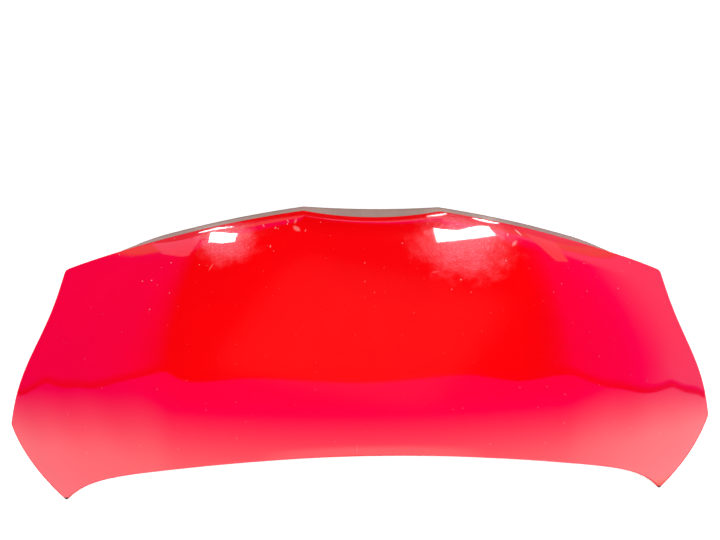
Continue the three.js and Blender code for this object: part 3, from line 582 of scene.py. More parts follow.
def turned(profile: np.ndarray, sides: int,
           radius_of: Reshape | None = None) -> tuple[np.ndarray, np.ndarray]:
    """Closed solid of revolution about Z from a closed loop or an axis-to-axis line.

    Args:
        profile: (radius, height) pairs, listed anticlockwise with radius to the right.
        sides: Points round the axis.
        radius_of: Optional function of (angle, radius, height) that reshapes each ring.

    Returns:
        Vertices and faces.
    """
    angle = np.linspace(0.0, 2.0 * np.pi, sides, endpoint=False)[:, None]
    radius = np.broadcast_to(profile[:, 0], (sides, len(profile)))
    height = np.broadcast_to(profile[:, 1], (sides, len(profile)))
    if radius_of is not None:
        radius = radius_of(angle, radius, height)
    points = np.stack([radius * np.cos(angle), radius * np.sin(angle), height], axis=-1)
    numbers = grid_numbers(sides, len(profile))
    on_axis = profile[:, 0] < 1e-9
    numbers = np.where(on_axis, numbers[:1], numbers)
    numbers = np.concatenate([numbers, numbers[:1]])
    if not on_axis.any():
        numbers = np.concatenate([numbers, numbers[:, :1]], axis=1)
    faces = cells(numbers).reshape(-1, 4)
    return drop_unused(points.reshape(-1, 3), faces)


def swept_rod(path: np.ndarray, radius: float, sides: int) -> tuple[np.ndarray, np.ndarray]:
    """Round rod along a path that lies in one XZ plane, its ends closed by shallow domes.

    Args:
        path: Centreline points.
        radius: The rod's radius.
        sides: Points round the rod.

    Returns:
        Vertices and faces.
    """
    along = np.gradient(path, axis=0)
    along /= np.linalg.norm(along, axis=1, keepdims=True)
    across = np.tile([0.0, 1.0, 0.0], (len(path), 1))
    up = np.cross(along, across)
    angle = np.linspace(0.0, 2.0 * np.pi, sides, endpoint=False)
    dome = np.array([1.0, 0.92, 0.6, 0.0])
    rise = np.array([0.0, 0.25, 0.45, 0.5]) * radius
    start = path[:1] - along[:1] * rise[::-1, None]
    end = path[-1:] + along[-1:] * rise[:, None]
    centres = np.concatenate([start, path, end])
    scale = np.concatenate([dome[::-1], np.ones(len(path)), dome]) * radius
    spread = [len(dome), *[1] * (len(path) - 2), len(dome)]
    across = np.repeat(across, np.array(spread) + np.array([1, *[0] * (len(path) - 2), 1]), axis=0)
    up = np.repeat(up, np.array(spread) + np.array([1, *[0] * (len(path) - 2), 1]), axis=0)
    ring = np.cos(angle)[:, None, None] * across + np.sin(angle)[:, None, None] * up
    points = centres + ring * scale[None, :, None]
    numbers = grid_numbers(sides, len(centres))
    numbers[:, 0] = numbers[0, 0]
    numbers[:, -1] = numbers[0, -1]
    numbers = np.concatenate([numbers, numbers[:1]])
    return drop_unused(points.reshape(-1, 3), cells(numbers).reshape(-1, 4)[:, ::-1])


def rounded_plate(length: float, width: float, thickness: float, corner: float,
                  holes: list[tuple[float, float]]) -> tuple[np.ndarray, np.ndarray]:
    """Flat plate with round corners, drilled along its middle line, with rounded edges.

    The plate is a flat curve, filled, raised and bevelled, then read back as arrays.

    Args:
        length: Size along X.
        width: Size along Y.
        thickness: Size along Z, from 0 up.
        corner: Corner radius in plan.
        holes: X of each hole's middle and its radius.

    Returns:
        Vertices and faces.
    """
    bevel = thickness * 0.16
    quarter = np.linspace(0.0, np.pi / 2.0, 7)
    inset_x, inset_y = length / 2.0 - corner, width / 2.0 - corner
    rim = []
    for k, (sx, sy) in enumerate([(1, 1), (-1, 1), (-1, -1), (1, -1)]):
        turn = quarter + k * np.pi / 2.0
        arc = np.stack([sx * inset_x + (corner - bevel) * np.cos(turn),
                        sy * inset_y + (corner - bevel) * np.sin(turn)], axis=-1)
        rim.append(arc)
    loops = [np.concatenate(rim)]
    circle = np.linspace(0.0, -2.0 * np.pi, 36, endpoint=False)
    for x, radius in holes:
        r = radius + bevel
        loops.append(np.stack([x + r * np.cos(circle), r * np.sin(circle)], axis=-1))
    curve = bpy.data.curves.new("plate_outline", "CURVE")
    curve.dimensions = "2D"
    curve.fill_mode = "BOTH"
    curve.extrude = thickness / 2.0 - bevel
    curve.bevel_depth = bevel
    curve.bevel_resolution = 2
    for loop in loops:
        spline = curve.splines.new("POLY")
        spline.points.add(len(loop) - 1)
        flat = np.column_stack([loop, np.zeros(len(loop)), np.ones(len(loop))])
        spline.points.foreach_set("co", flat.ravel())
        spline.use_cyclic_u = True
    holder = bpy.data.objects.new("plate_outline", curve)
    mesh = bpy.data.meshes.new_from_object(holder)
    points = np.zeros(len(mesh.vertices) * 3)
    mesh.vertices.foreach_get("co", points)
    points = points.reshape(-1, 3) + np.array([0.0, 0.0, thickness / 2.0])
    faces = np.array([(list(p.vertices) + [p.vertices[-1]])[:4] for p in mesh.polygons])
    bpy.data.objects.remove(holder)
    bpy.data.meshes.remove(mesh)
    return merged(points, faces)


def merged(points: np.ndarray, faces: np.ndarray) -> tuple[np.ndarray, np.ndarray]:
    """Merges vertices that lie within a micrometre, and drops faces that this closes up."""
    keys = np.round(points, 6)
    _, first, inverse = np.unique(keys, axis=0, return_index=True, return_inverse=True)
    renumbered = inverse.ravel()[faces]
    distinct = np.array([len(set(f)) > 2 for f in renumbered.tolist()])
    return points[first], renumbered[distinct]


def hexagonal(flats: float, chamfer_top: float, chamfer_rise: float) -> Reshape:
    """A function that turns rings into a hexagon with coned corners, as on a nut.

    Each radius is cut to flats/2 / cos(angle from the nearest flat), then to a cone near the ends.

    Args:
        flats: Distance across the flats.
        chamfer_top: Height of the hexagon's far end.
        chamfer_rise: Height over which the corners are coned.

    Returns:
        The reshaping function for turned().
    """
    corner = flats / math.sqrt(3.0)

    def reshape(angle: np.ndarray, radius: np.ndarray, height: np.ndarray) -> np.ndarray:
        """The ring's radius at each angle."""
        sector = np.mod(angle, np.pi / 3.0) - np.pi / 6.0
        flat = flats / 2.0 / np.cos(sector)
        cone = corner - (corner - flats / 2.0) * np.clip(
            1.0 - (chamfer_top - height) / chamfer_rise, 0.0, 1.0)
        limit = np.minimum(flat, cone)
        return np.where(radius > flats / 2.0 * 0.98, np.minimum(radius, limit), radius)

    return reshape


# Shader building


class Field:
    """A socket in a node tree that Python's operators work on."""

    def __init__(self, sheet: "NodeSheet", socket: bpy.types.NodeSocket) -> None:
        """Wraps one output socket."""
        self.sheet = sheet
        self.socket = socket

    def _math(self, operation: str, *values) -> "Field":
        """Adds one Math node."""
        inputs = dict(enumerate(values))
        return self.sheet.add("ShaderNodeMath", {"operation": operation}, inputs)

    def __add__(self, other) -> "Field":
        """Sum."""
        return self._math("ADD", self, other)

    def __radd__(self, other) -> "Field":
        """Sum, reflected."""
        return self._math("ADD", other, self)

    def __sub__(self, other) -> "Field":
        """Difference."""
        return self._math("SUBTRACT", self, other)

    def __rsub__(self, other) -> "Field":
        """Difference, reflected."""
        return self._math("SUBTRACT", other, self)

    def __mul__(self, other) -> "Field":
        """Product."""
        return self._math("MULTIPLY", self, other)

    def __rmul__(self, other) -> "Field":
        """Product, reflected."""
        return self._math("MULTIPLY", other, self)

    def __truediv__(self, other) -> "Field":
        """Quotient."""
        return self._math("DIVIDE", self, other)

    def __pow__(self, power: float) -> "Field":
        """Power."""
        return self._math("POWER", self, power)

    def __abs__(self) -> "Field":
        """Size without its sign."""
        return self._math("ABSOLUTE", self)

    def most(self, other) -> "Field":
        """The greater of two values."""
        return self._math("MAXIMUM", self, other)

    def least(self, other) -> "Field":
        """The lesser of two values."""
        return self._math("MINIMUM", self, other)

    def rise(self, low: float, high: float) -> "Field":
        """Smooth step from 0 at low to 1 at high; it falls where high is below low."""
        settings = {"interpolation_type": "SMOOTHSTEP"}
        if low <= high:
            return self.sheet.add("ShaderNodeMapRange", settings, {0: self, 1: low, 2: high, 3: 0.0, 4: 1.0})
        return self.sheet.add("ShaderNodeMapRange", settings, {0: self, 1: high, 2: low, 3: 1.0, 4: 0.0})

    def through(self, knots: tuple[tuple[float, float], ...]) -> "Field":
        """A smooth line through (position, height) knots, level at each of them and beyond the last.

        Args:
            knots: Increasing positions, each with its height.

        Returns:
            The line's height.
        """
        total = knots[0][1]
        for (low, start), (high, end) in zip(knots, knots[1:]):
            total = total + self.rise(low, high) * (end - start)
        return total


class NodeSheet:
    """A node tree that a finish, the world or the floor is written on."""

    def __init__(self, owner: bpy.types.ID) -> None:
        """Empties the owner's node tree and gives it an output.

        Args:
            owner: A material or the world.
        """
        owner.use_nodes = True
        self.tree = owner.node_tree
        self.tree.nodes.clear()
        kind = "ShaderNodeOutputWorld" if isinstance(owner, bpy.types.World) else "ShaderNodeOutputMaterial"
        self.output = self.tree.nodes.new(kind)

    def add(self, kind: str, settings: dict | None = None, inputs: dict | None = None,
            output: int | str = 0) -> Field:
        """Adds any node.

        Args:
            kind: The node's type.
            settings: Properties, set first; "stops" holds a ramp's (position, colour) pairs.
            inputs: Values or links of its sockets, by name or number.
            output: The output socket to return.

        Returns:
            The output socket as a Field.
        """
        node = self.tree.nodes.new(kind)
        for key, value in (settings or {}).items():
            if key == "stops":
                for element, (place, colour) in zip(self._ramp_elements(node, len(value)), value):
                    element.position = place
                    element.color = colour
            else:
                setattr(node, key, value)
        for key, value in (inputs or {}).items():
            if isinstance(value, Field):
                self.tree.links.new(value.socket, node.inputs[key])
            else:
                node.inputs[key].default_value = value
        return Field(self, node.outputs[output])

    @staticmethod
    def _ramp_elements(node: bpy.types.Node, count: int) -> list:
        """A ramp's elements, as many as count."""
        elements = node.color_ramp.elements
        while len(elements) < count:
            elements.new(1.0)
        return list(elements)

    def mix(self, share, low, high) -> Field:
        """Mixes two colours."""
        return self.add("ShaderNodeMix", {"data_type": "RGBA"}, {0: share, 6: low, 7: high}, 2)

    def place(self) -> Field:
        """Object coordinates, in metres."""
        return self.add("ShaderNodeTexCoord", output="Object")

    def stretched(self, where: Field, scale: tuple[float, float, float],
                  turn_degrees: float = 0.0) -> Field:
        """Coordinates scaled along each axis and turned about Z."""
        turn = (0.0, 0.0, math.radians(turn_degrees))
        return self.add("ShaderNodeMapping", None, {"Vector": where, "Rotation": turn, "Scale": scale})

    def noise(self, where: Field, scale: float, detail: float = 3.0, roughness: float = 0.5) -> Field:
        """Fractal noise from 0 to 1."""
        inputs = {"Vector": where, "Scale": scale, "Detail": detail, "Roughness": roughness}
        return self.add("ShaderNodeTexNoise", None, inputs)

    def specks(self, where: Field, scale: float, radius: float, share: float) -> Field:
        """Round specks: one to a Voronoi cell, kept in a share of the cells.

        Args:
            where: Coordinates.
            scale: Cells to a metre.
            radius: Speck radius as a share of a cell.
            share: Share of the cells that have a speck.

        Returns:
            A mask.
        """
        settings = {"voronoi_dimensions": "2D"}
        inputs = {"Vector": where, "Scale": scale}
        distance = self.add("ShaderNodeTexVoronoi", settings, inputs, "Distance")
        colour = self.add("ShaderNodeTexVoronoi", settings, inputs, "Color")
        pick = self.add("ShaderNodeSeparateColor", None, {0: colour}, 0)
        size = self.add("ShaderNodeSeparateColor", None, {0: colour}, 1)
        kept = pick.rise(share, share - 0.01)
        reach = size * radius + radius * 0.4
        return (distance / reach).rise(1.0, 0.7) * kept

    def bump(self, height: Field, strength: float, distance: float) -> Field:
        """A normal from a height."""
        inputs = {"Height": height, "Strength": strength, "Distance": distance}
        return self.add("ShaderNodeBump", None, inputs)

    def surface(self, inputs: dict) -> None:
        """Ends the sheet in one Principled shader.

        Args:
            inputs: Values or links of the shader's sockets.
        """
        shader = self.add("ShaderNodeBsdfPrincipled", None, inputs)
        self.tree.links.new(shader.socket, self.output.inputs["Surface"])


def new_material(name: str) -> tuple[bpy.types.Material, NodeSheet]:
    """A new material and its empty node sheet."""
    material = bpy.data.materials.new(name)
    return material, NodeSheet(material)


Colour = tuple[float, float, float, float]


# Camera


@dataclass(frozen=True)
class PhotoCamera:
    """The camera that took the photograph, fitted to the bonnet's outline."""

    place: tuple[float, float, float] = (-0.0860, 0.1635, 1.2111)
    yaw_degrees: float = 3.06
    lens_mm: float = 30.0
    sensor_mm: float = 36.0
    image: tuple[int, int] = (720, 540)

    def axes(self) -> np.ndarray:
        """Rows that hold the camera's right, up and backward directions."""
        yaw = math.radians(self.yaw_degrees)
        back = np.array([-math.sin(yaw), 0.0, math.cos(yaw)])
        right = np.array([math.cos(yaw), 0.0, math.sin(yaw)])
        return np.stack([right, np.cross(back, right), back])

    def ray(self, pixel: tuple[float, float]) -> np.ndarray:
        """Unit direction of the ray through a pixel of the photograph."""
        focal = self.lens_mm / self.sensor_mm * self.image[0]
        u = (pixel[0] - self.image[0] / 2.0) / focal
        v = (self.image[1] / 2.0 - pixel[1]) / focal
        direction = np.array([u, v, -1.0]) @ self.axes()
        return direction / np.linalg.norm(direction)

    def on_panel(self, pixel: tuple[float, float], panel: PanelForm, placed: Placement) -> np.ndarray:
        """Point of the outer face under a pixel, found by stepping down the ray."""
        direction = self.ray(pixel)
        point = np.array(self.place)
        for _ in range(12):
            local = point - np.array(placed.shift)
            level = float(panel.height(local[0], local[1])) + placed.shift[2]
            point = point + direction * (level - point[2]) / direction[2]
        return point

    def mirrored(self, pixel: tuple[float, float], panel: PanelForm,
                 placed: Placement) -> tuple[np.ndarray, np.ndarray]:
        """The point under a pixel and where its mirror reflection heads."""
        point = self.on_panel(pixel, panel, placed)
        local = point - np.array(placed.shift)
        normal = panel.normal(local[0], local[1])
        direction = self.ray(pixel)
        return point, direction - 2.0 * float(direction @ normal) * normal

    def build(self) -> bpy.types.Object:
        """Makes the camera and hands it to the scene."""
        data = bpy.data.cameras.new("photo_camera")
        data.lens = self.lens_mm
        data.sensor_width = self.sensor_mm
        camera = bpy.data.objects.new("photo_camera", data)
        camera.location = self.place
        camera.rotation_euler = (0.0, -math.radians(self.yaw_degrees), 0.0)
        bpy.context.scene.collection.objects.link(camera)
        bpy.context.scene.camera = camera
        return camera


# Finishes


@dataclass(frozen=True)
class Mark:
    """A scuff or scratch on the paint, placed by its pixel in the photograph."""

    pixel: tuple[float, float]
    half_length: float
    half_width: float
    turn_degrees: float
    strength: float


@dataclass(frozen=True)
class GlossRed:
    """Red solid paint under clear coat: circular polishing marks roughen it round the lamps' reflections, where a
    pink glow is painted in as a painted highlight; chipped by stones, scuffed at the nose.
    """

    camera: PhotoCamera
    panel: PanelForm
    placed: Placement
    red: Colour = (0.95, 0.0004, 0.002, 1.0)
    deep_red: Colour = (0.90, 0.0004, 0.003, 1.0)
    dull_red: Colour = (0.45, 0.010, 0.014, 1.0)
    primer_chip: Colour = (0.62, 0.55, 0.53, 1.0)
    scuff_pink: Colour = (0.95, 0.42, 0.40, 1.0)
    # Pink mixed into the colour round the lamps' reflections: a painted highlight glow.
    haze_pink: Colour = (0.97, 0.22, 0.29, 1.0)
    # Near-black colour mixed in at the two rear tips.
    worn_tip: Colour = (0.030, 0.020, 0.022, 1.0)
    marks: tuple[Mark, ...] = (
        Mark((296.5, 228.5), 0.0110, 0.0060, -35.0, 0.42),
        Mark((295.5, 221), 0.0080, 0.0036, 75.0, 0.30),
        Mark((287.8, 221), 0.0048, 0.0020, -60.0, 0.50),
        Mark((263.5, 225.5), 0.0040, 0.0018, -60.0, 0.50),
        Mark((275.5, 227.8), 0.0028, 0.0026, 0.0, 0.50),
        Mark((270.4, 246.3), 0.0034, 0.0015, 80.0, 0.55),
        Mark((305.5, 230.5), 0.0034, 0.0015, 75.0, 0.50),
        Mark((507.7, 234.5), 0.0040, 0.0020, 90.0, 0.95),
        Mark((518.2, 232.4), 0.0120, 0.0028, -48.0, 0.85),
        Mark((514.5, 243.3), 0.0100, 0.0050, 45.0, 0.50),
        Mark((211, 267), 0.0110, 0.0014, 60.0, 0.30),
        Mark((435, 272), 0.0100, 0.0008, 5.0, 0.35),
        Mark((357, 449), 0.0140, 0.0007, 90.0, 0.30),
    )
    # Middles of the circular polishing marks, on the lamps' reflections, where a pink highlight glow is also painted.
    swirls: tuple[tuple[tuple[float, float], float], ...] = (
        ((226, 242), 0.070),
        ((466, 242), 0.120),
    )
    tip_wear_radius: float = 0.0085

    def marked(self, sheet: NodeSheet, where: Field) -> Field:
        """Mask of every scuff: an ellipse about each mark's place, broken up by noise."""
        grain = sheet.noise(where, 420.0, 4.0, 0.7)
        total = None
        for mark in self.marks:
            point = self.camera.on_panel(mark.pixel, self.panel, self.placed)
            turn = (0.0, 0.0, math.radians(mark.turn_degrees))
            scale = (mark.half_length, mark.half_width, 1.0)
            settings = {"vector_type": "TEXTURE"}
            spot_at = (point[0], point[1], 0.0)
            inputs = {"Vector": where, "Location": spot_at, "Rotation": turn, "Scale": scale}
            local = sheet.add("ShaderNodeMapping", settings, inputs)
            x = sheet.add("ShaderNodeSeparateXYZ", None, {0: local}, 0)
            y = sheet.add("ShaderNodeSeparateXYZ", None, {0: local}, 1)
            spot = (x * x + y * y + grain * 0.9).rise(1.25, 0.35) * mark.strength
            total = spot if total is None else total.most(spot)
        return total

    def swirled(self, sheet: NodeSheet, where: Field) -> tuple[Field, Field]:
        """Circular polishing marks round the lamps' reflections: noise stretched round each middle, and a mask of
        where they show; both also set the painted pink highlight glow.

        Args:
            sheet: The paint's node sheet.
            where: Object coordinates.

        Returns:
            The arcs and the mask, which roughen the coat and also place the painted highlight glow.
        """
        arcs, zone = None, None
        for pixel, reach in self.swirls:
            point = self.camera.on_panel(pixel, self.panel, self.placed)
            settings = {"vector_type": "TEXTURE"}
            middle = (point[0], point[1], 0.0)
            inputs = {"Vector": where, "Location": middle, "Scale": (1.0, 0.75, 1.0)}
            local = sheet.add("ShaderNodeMapping", settings, inputs)
            x = sheet.add("ShaderNodeSeparateXYZ", None, {0: local}, 0)
            y = sheet.add("ShaderNodeSeparateXYZ", None, {0: local}, 1)
            radius = (x * x + y * y) ** 0.5
            angle = sheet.add("ShaderNodeMath", {"operation": "ARCTAN2"}, {0: y, 1: x})
            polar = sheet.add("ShaderNodeCombineXYZ", None, {0: radius * 800.0, 1: angle * 4.0})
            arc = sheet.noise(polar, 1.0, 4.0, 0.7).rise(0.42, 0.75)
            cloud = sheet.noise(where, 38.0, 4.0, 0.6)
            mask = (radius / reach + (cloud - 0.5) * 0.9).rise(1.0, 0.1)
            arcs = arc * mask if arcs is None else arcs.most(arc * mask)
            zone = mask if zone is None else zone.most(mask)
        return arcs, zone

    def build(self) -> bpy.types.Material:
        """Makes the paint."""
        material, sheet = new_material("gloss_red_paint")
        where = sheet.place()
        x = sheet.add("ShaderNodeSeparateXYZ", None, {0: where}, 0)
        y = sheet.add("ShaderNodeSeparateXYZ", None, {0: where}, 1)
        cloud = sheet.noise(where, 5.0, 2.0)
        colour = sheet.mix(cloud.rise(0.35, 0.75), self.red, self.deep_red)

        nose = y.rise(-0.05, 0.26)
        small = sheet.specks(where, 55.0, 0.050, 0.08)
        fine = sheet.specks(where, 160.0, 0.085, 0.018)
        chips = (small * (0.25 + 0.75 * nose)).most(fine * (0.2 + 0.8 * nose))
        colour = sheet.mix(chips * 0.75, colour, self.primer_chip)

        scuffs = self.marked(sheet, where)
        colour = sheet.mix(scuffs, colour, self.scuff_pink)

        # The two rear tips go near-black within a small radius.
        tip_y = self.placed.shift[1]
        across = abs(x) - self.panel.tip_x
        tip = (across * across + (y - tip_y) * (y - tip_y)) ** 0.5
        tip_dark = (tip + sheet.noise(where, 300.0) * 0.003).rise(self.tip_wear_radius + 0.0015,
                                                            self.tip_wear_radius - 0.001)
        colour = sheet.mix(tip_dark, colour, self.worn_tip)

        inner = sheet.add("ShaderNodeAttribute", {"attribute_name": "inner_face"}, None, "Fac")
        mottled = sheet.noise(where, 30.0, 4.0)
        back = sheet.mix(mottled.rise(0.3, 0.7), self.dull_red, self.deep_red)
        colour = sheet.mix(inner, colour, back)

        streaks = sheet.noise(sheet.stretched(where, (9.0, 260.0, 9.0), 4.0), 1.0, 5.0, 0.65)
        swirl_and_glint, zone = self.swirled(sheet, where)
        # Painted highlight: a pink glow and glinting arcs mixed into the colour round the lamps' reflections.
        colour = sheet.mix((swirl_and_glint * 0.85 + zone * 0.28).least(1.0), colour, self.haze_pink)
        polish = streaks.rise(0.55, 0.85)
        roughness = 0.13 + 0.03 * polish + zone * 0.10 + swirl_and_glint * 0.22 + 0.35 * chips + 0.25 * scuffs
        roughness = (roughness + 0.3 * inner).least(0.9)
        coat = (1.0 - 0.8 * chips.most(tip_dark)) * (1.0 - 0.7 * scuffs) * (1.0 - 0.8 * inner)

        peel = sheet.noise(where, 520.0, 2.0)
        relief = peel * 0.25 + polish * 0.03 + swirl_and_glint * 0.2 - chips * 1.6
        sheet.surface({
            "Base Color": colour,
            "Roughness": roughness,
            "Coat Weight": coat,
            "Coat Roughness": 0.03,
            "Specular IOR Level": 0.08,
            "Coat IOR": 1.5,
            "Normal": sheet.bump(relief, 0.14, 0.0004),
        })
        return material


@dataclass(frozen=True)
class FramePrimer:
    """Grey-brown dipped primer on the inner frame, scuffed on the ribs, with streaky soiling and painted shade that
    darken mostly its downward faces.
    """

    primer: Colour = (0.372, 0.232, 0.190, 1.0)
    pale: Colour = (0.420, 0.270, 0.225, 1.0)
    # Dark brown used for soiling and for painted shade.
    grime: Colour = (0.170, 0.105, 0.085, 1.0)
    rust: Colour = (0.190, 0.055, 0.018, 1.0)

    def build(self) -> bpy.types.Material:
        """Makes the primer."""
        material, sheet = new_material("frame_primer_coat")
        where = sheet.place()
        broad = sheet.noise(where, 9.0, 4.0, 0.55)
        fine = sheet.noise(where, 130.0, 4.0, 0.6)
        colour = sheet.mix(broad.rise(0.35, 0.7), self.primer, self.pale)
        runs = sheet.noise(sheet.stretched(where, (60.0, 7.0, 60.0)), 1.0, 4.0, 0.6)
        dirt_and_shade = (runs.rise(0.52, 0.74) * 0.55 + fine.rise(0.55, 0.8) * 0.22).least(0.7)
        normal_z = sheet.add("ShaderNodeSeparateXYZ", None,
                             {0: sheet.add("ShaderNodeNewGeometry", output="Normal")}, 2)
        underside = normal_z.rise(0.2, -0.2)
        # Painted shade with the soiling: the dark mix weighs four times as much on downward faces.
        colour = sheet.mix(dirt_and_shade * (0.25 + 0.75 * underside), colour, self.grime)
        pits = sheet.specks(where, 42.0, 0.10, 0.10) * fine.rise(0.35, 0.55) * underside
        colour = sheet.mix(pits * 0.8, colour, self.rust)
        roughness = (0.46 + 0.18 * broad + 0.25 * dirt_and_shade + 0.2 * pits).least(0.95)
        relief = fine * 0.5 + sheet.noise(where, 700.0, 2.0) * 0.3 - pits * 0.8
        sheet.surface({
            "Base Color": colour,
            "Roughness": roughness,
            "Coat Weight": 0.12,
            "Coat Roughness": 0.3,
            "Normal": sheet.bump(relief, 0.22, 0.0004),
        })
        return material


@dataclass(frozen=True)
class ZincPlate:
    """Dull zinc plate with fine spangle, white bloom and rubbed-off rust."""

    zinc: Colour = (0.52, 0.53, 0.54, 1.0)
    dull: Colour = (0.34, 0.345, 0.36, 1.0)
    bloom: Colour = (0.62, 0.62, 0.60, 1.0)
    rust: Colour = (0.20, 0.075, 0.030, 1.0)

    def build(self) -> bpy.types.Material:
        """Makes the plated steel."""
        material, sheet = new_material("zinc_plated_steel")
        where = sheet.place()
        cell = sheet.add("ShaderNodeTexVoronoi", None, {"Vector": where, "Scale": 420.0}, "Color")
        spangle = sheet.add("ShaderNodeSeparateColor", None, {0: cell}, 0)
        cloud = sheet.noise(where, 60.0, 4.0, 0.6)
        colour = sheet.mix(spangle * 0.6, self.zinc, self.dull)
        bloom = cloud.rise(0.52, 0.72)
        colour = sheet.mix(bloom * 0.55, colour, self.bloom)
        rust = sheet.noise(where, 150.0, 5.0, 0.7).rise(0.66, 0.78)
        colour = sheet.mix(rust, colour, self.rust)
        roughness = 0.30 + 0.14 * spangle + 0.25 * bloom + 0.3 * rust
        relief = spangle * 0.2 + cloud * 0.6 + sheet.noise(where, 900.0, 2.0) * 0.25
        sheet.surface({
            "Base Color": colour,
            "Metallic": (0.92 - 0.5 * bloom - 0.9 * rust).most(0.0),
            "Roughness": roughness.least(0.9),
            "Normal": sheet.bump(relief, 0.2, 0.0003),
        })
        return material


@dataclass(frozen=True)
class MouldedRubber:
    """Black moulded rubber, dusty where it is proud."""

    black: Colour = (0.012, 0.012, 0.013, 1.0)
    dusty: Colour = (0.060, 0.056, 0.052, 1.0)

    def build(self) -> bpy.types.Material:
        """Makes the rubber."""
        material, sheet = new_material("moulded_rubber")
        where = sheet.place()
        cloud = sheet.noise(where, 90.0, 5.0, 0.65)
        grain = sheet.noise(where, 1500.0, 2.0)
        dust = cloud.rise(0.45, 0.75)
        sheet.surface({
            "Base Color": sheet.mix(dust * 0.6, self.black, self.dusty),
            "Roughness": 0.55 + 0.3 * dust,
            "Normal": sheet.bump(grain * 0.5 + cloud * 0.5, 0.25, 0.0002),
        })
        return material


@dataclass(frozen=True)
class SprayedMastic:
    """Dull grey expanding mastic with a pitted skin."""

    grey: Colour = (0.045, 0.046, 0.052, 1.0)
    pale: Colour = (0.100, 0.098, 0.100, 1.0)

    def build(self) -> bpy.types.Material:
        """Makes the mastic."""
        material, sheet = new_material("expanded_mastic")
        where = sheet.place()
        lumps = sheet.noise(where, 260.0, 4.0, 0.6)
        pores = sheet.add("ShaderNodeTexVoronoi", None, {"Vector": where, "Scale": 900.0}, "Distance")
        sheet.surface({
            "Base Color": sheet.mix(lumps.rise(0.35, 0.7), self.grey, self.pale),
            "Roughness": 0.8 + 0.15 * lumps,
            "Normal": sheet.bump(lumps * 0.7 + pores * 0.5, 0.5, 0.0006),
        })
        return material


# Sub-assemblies


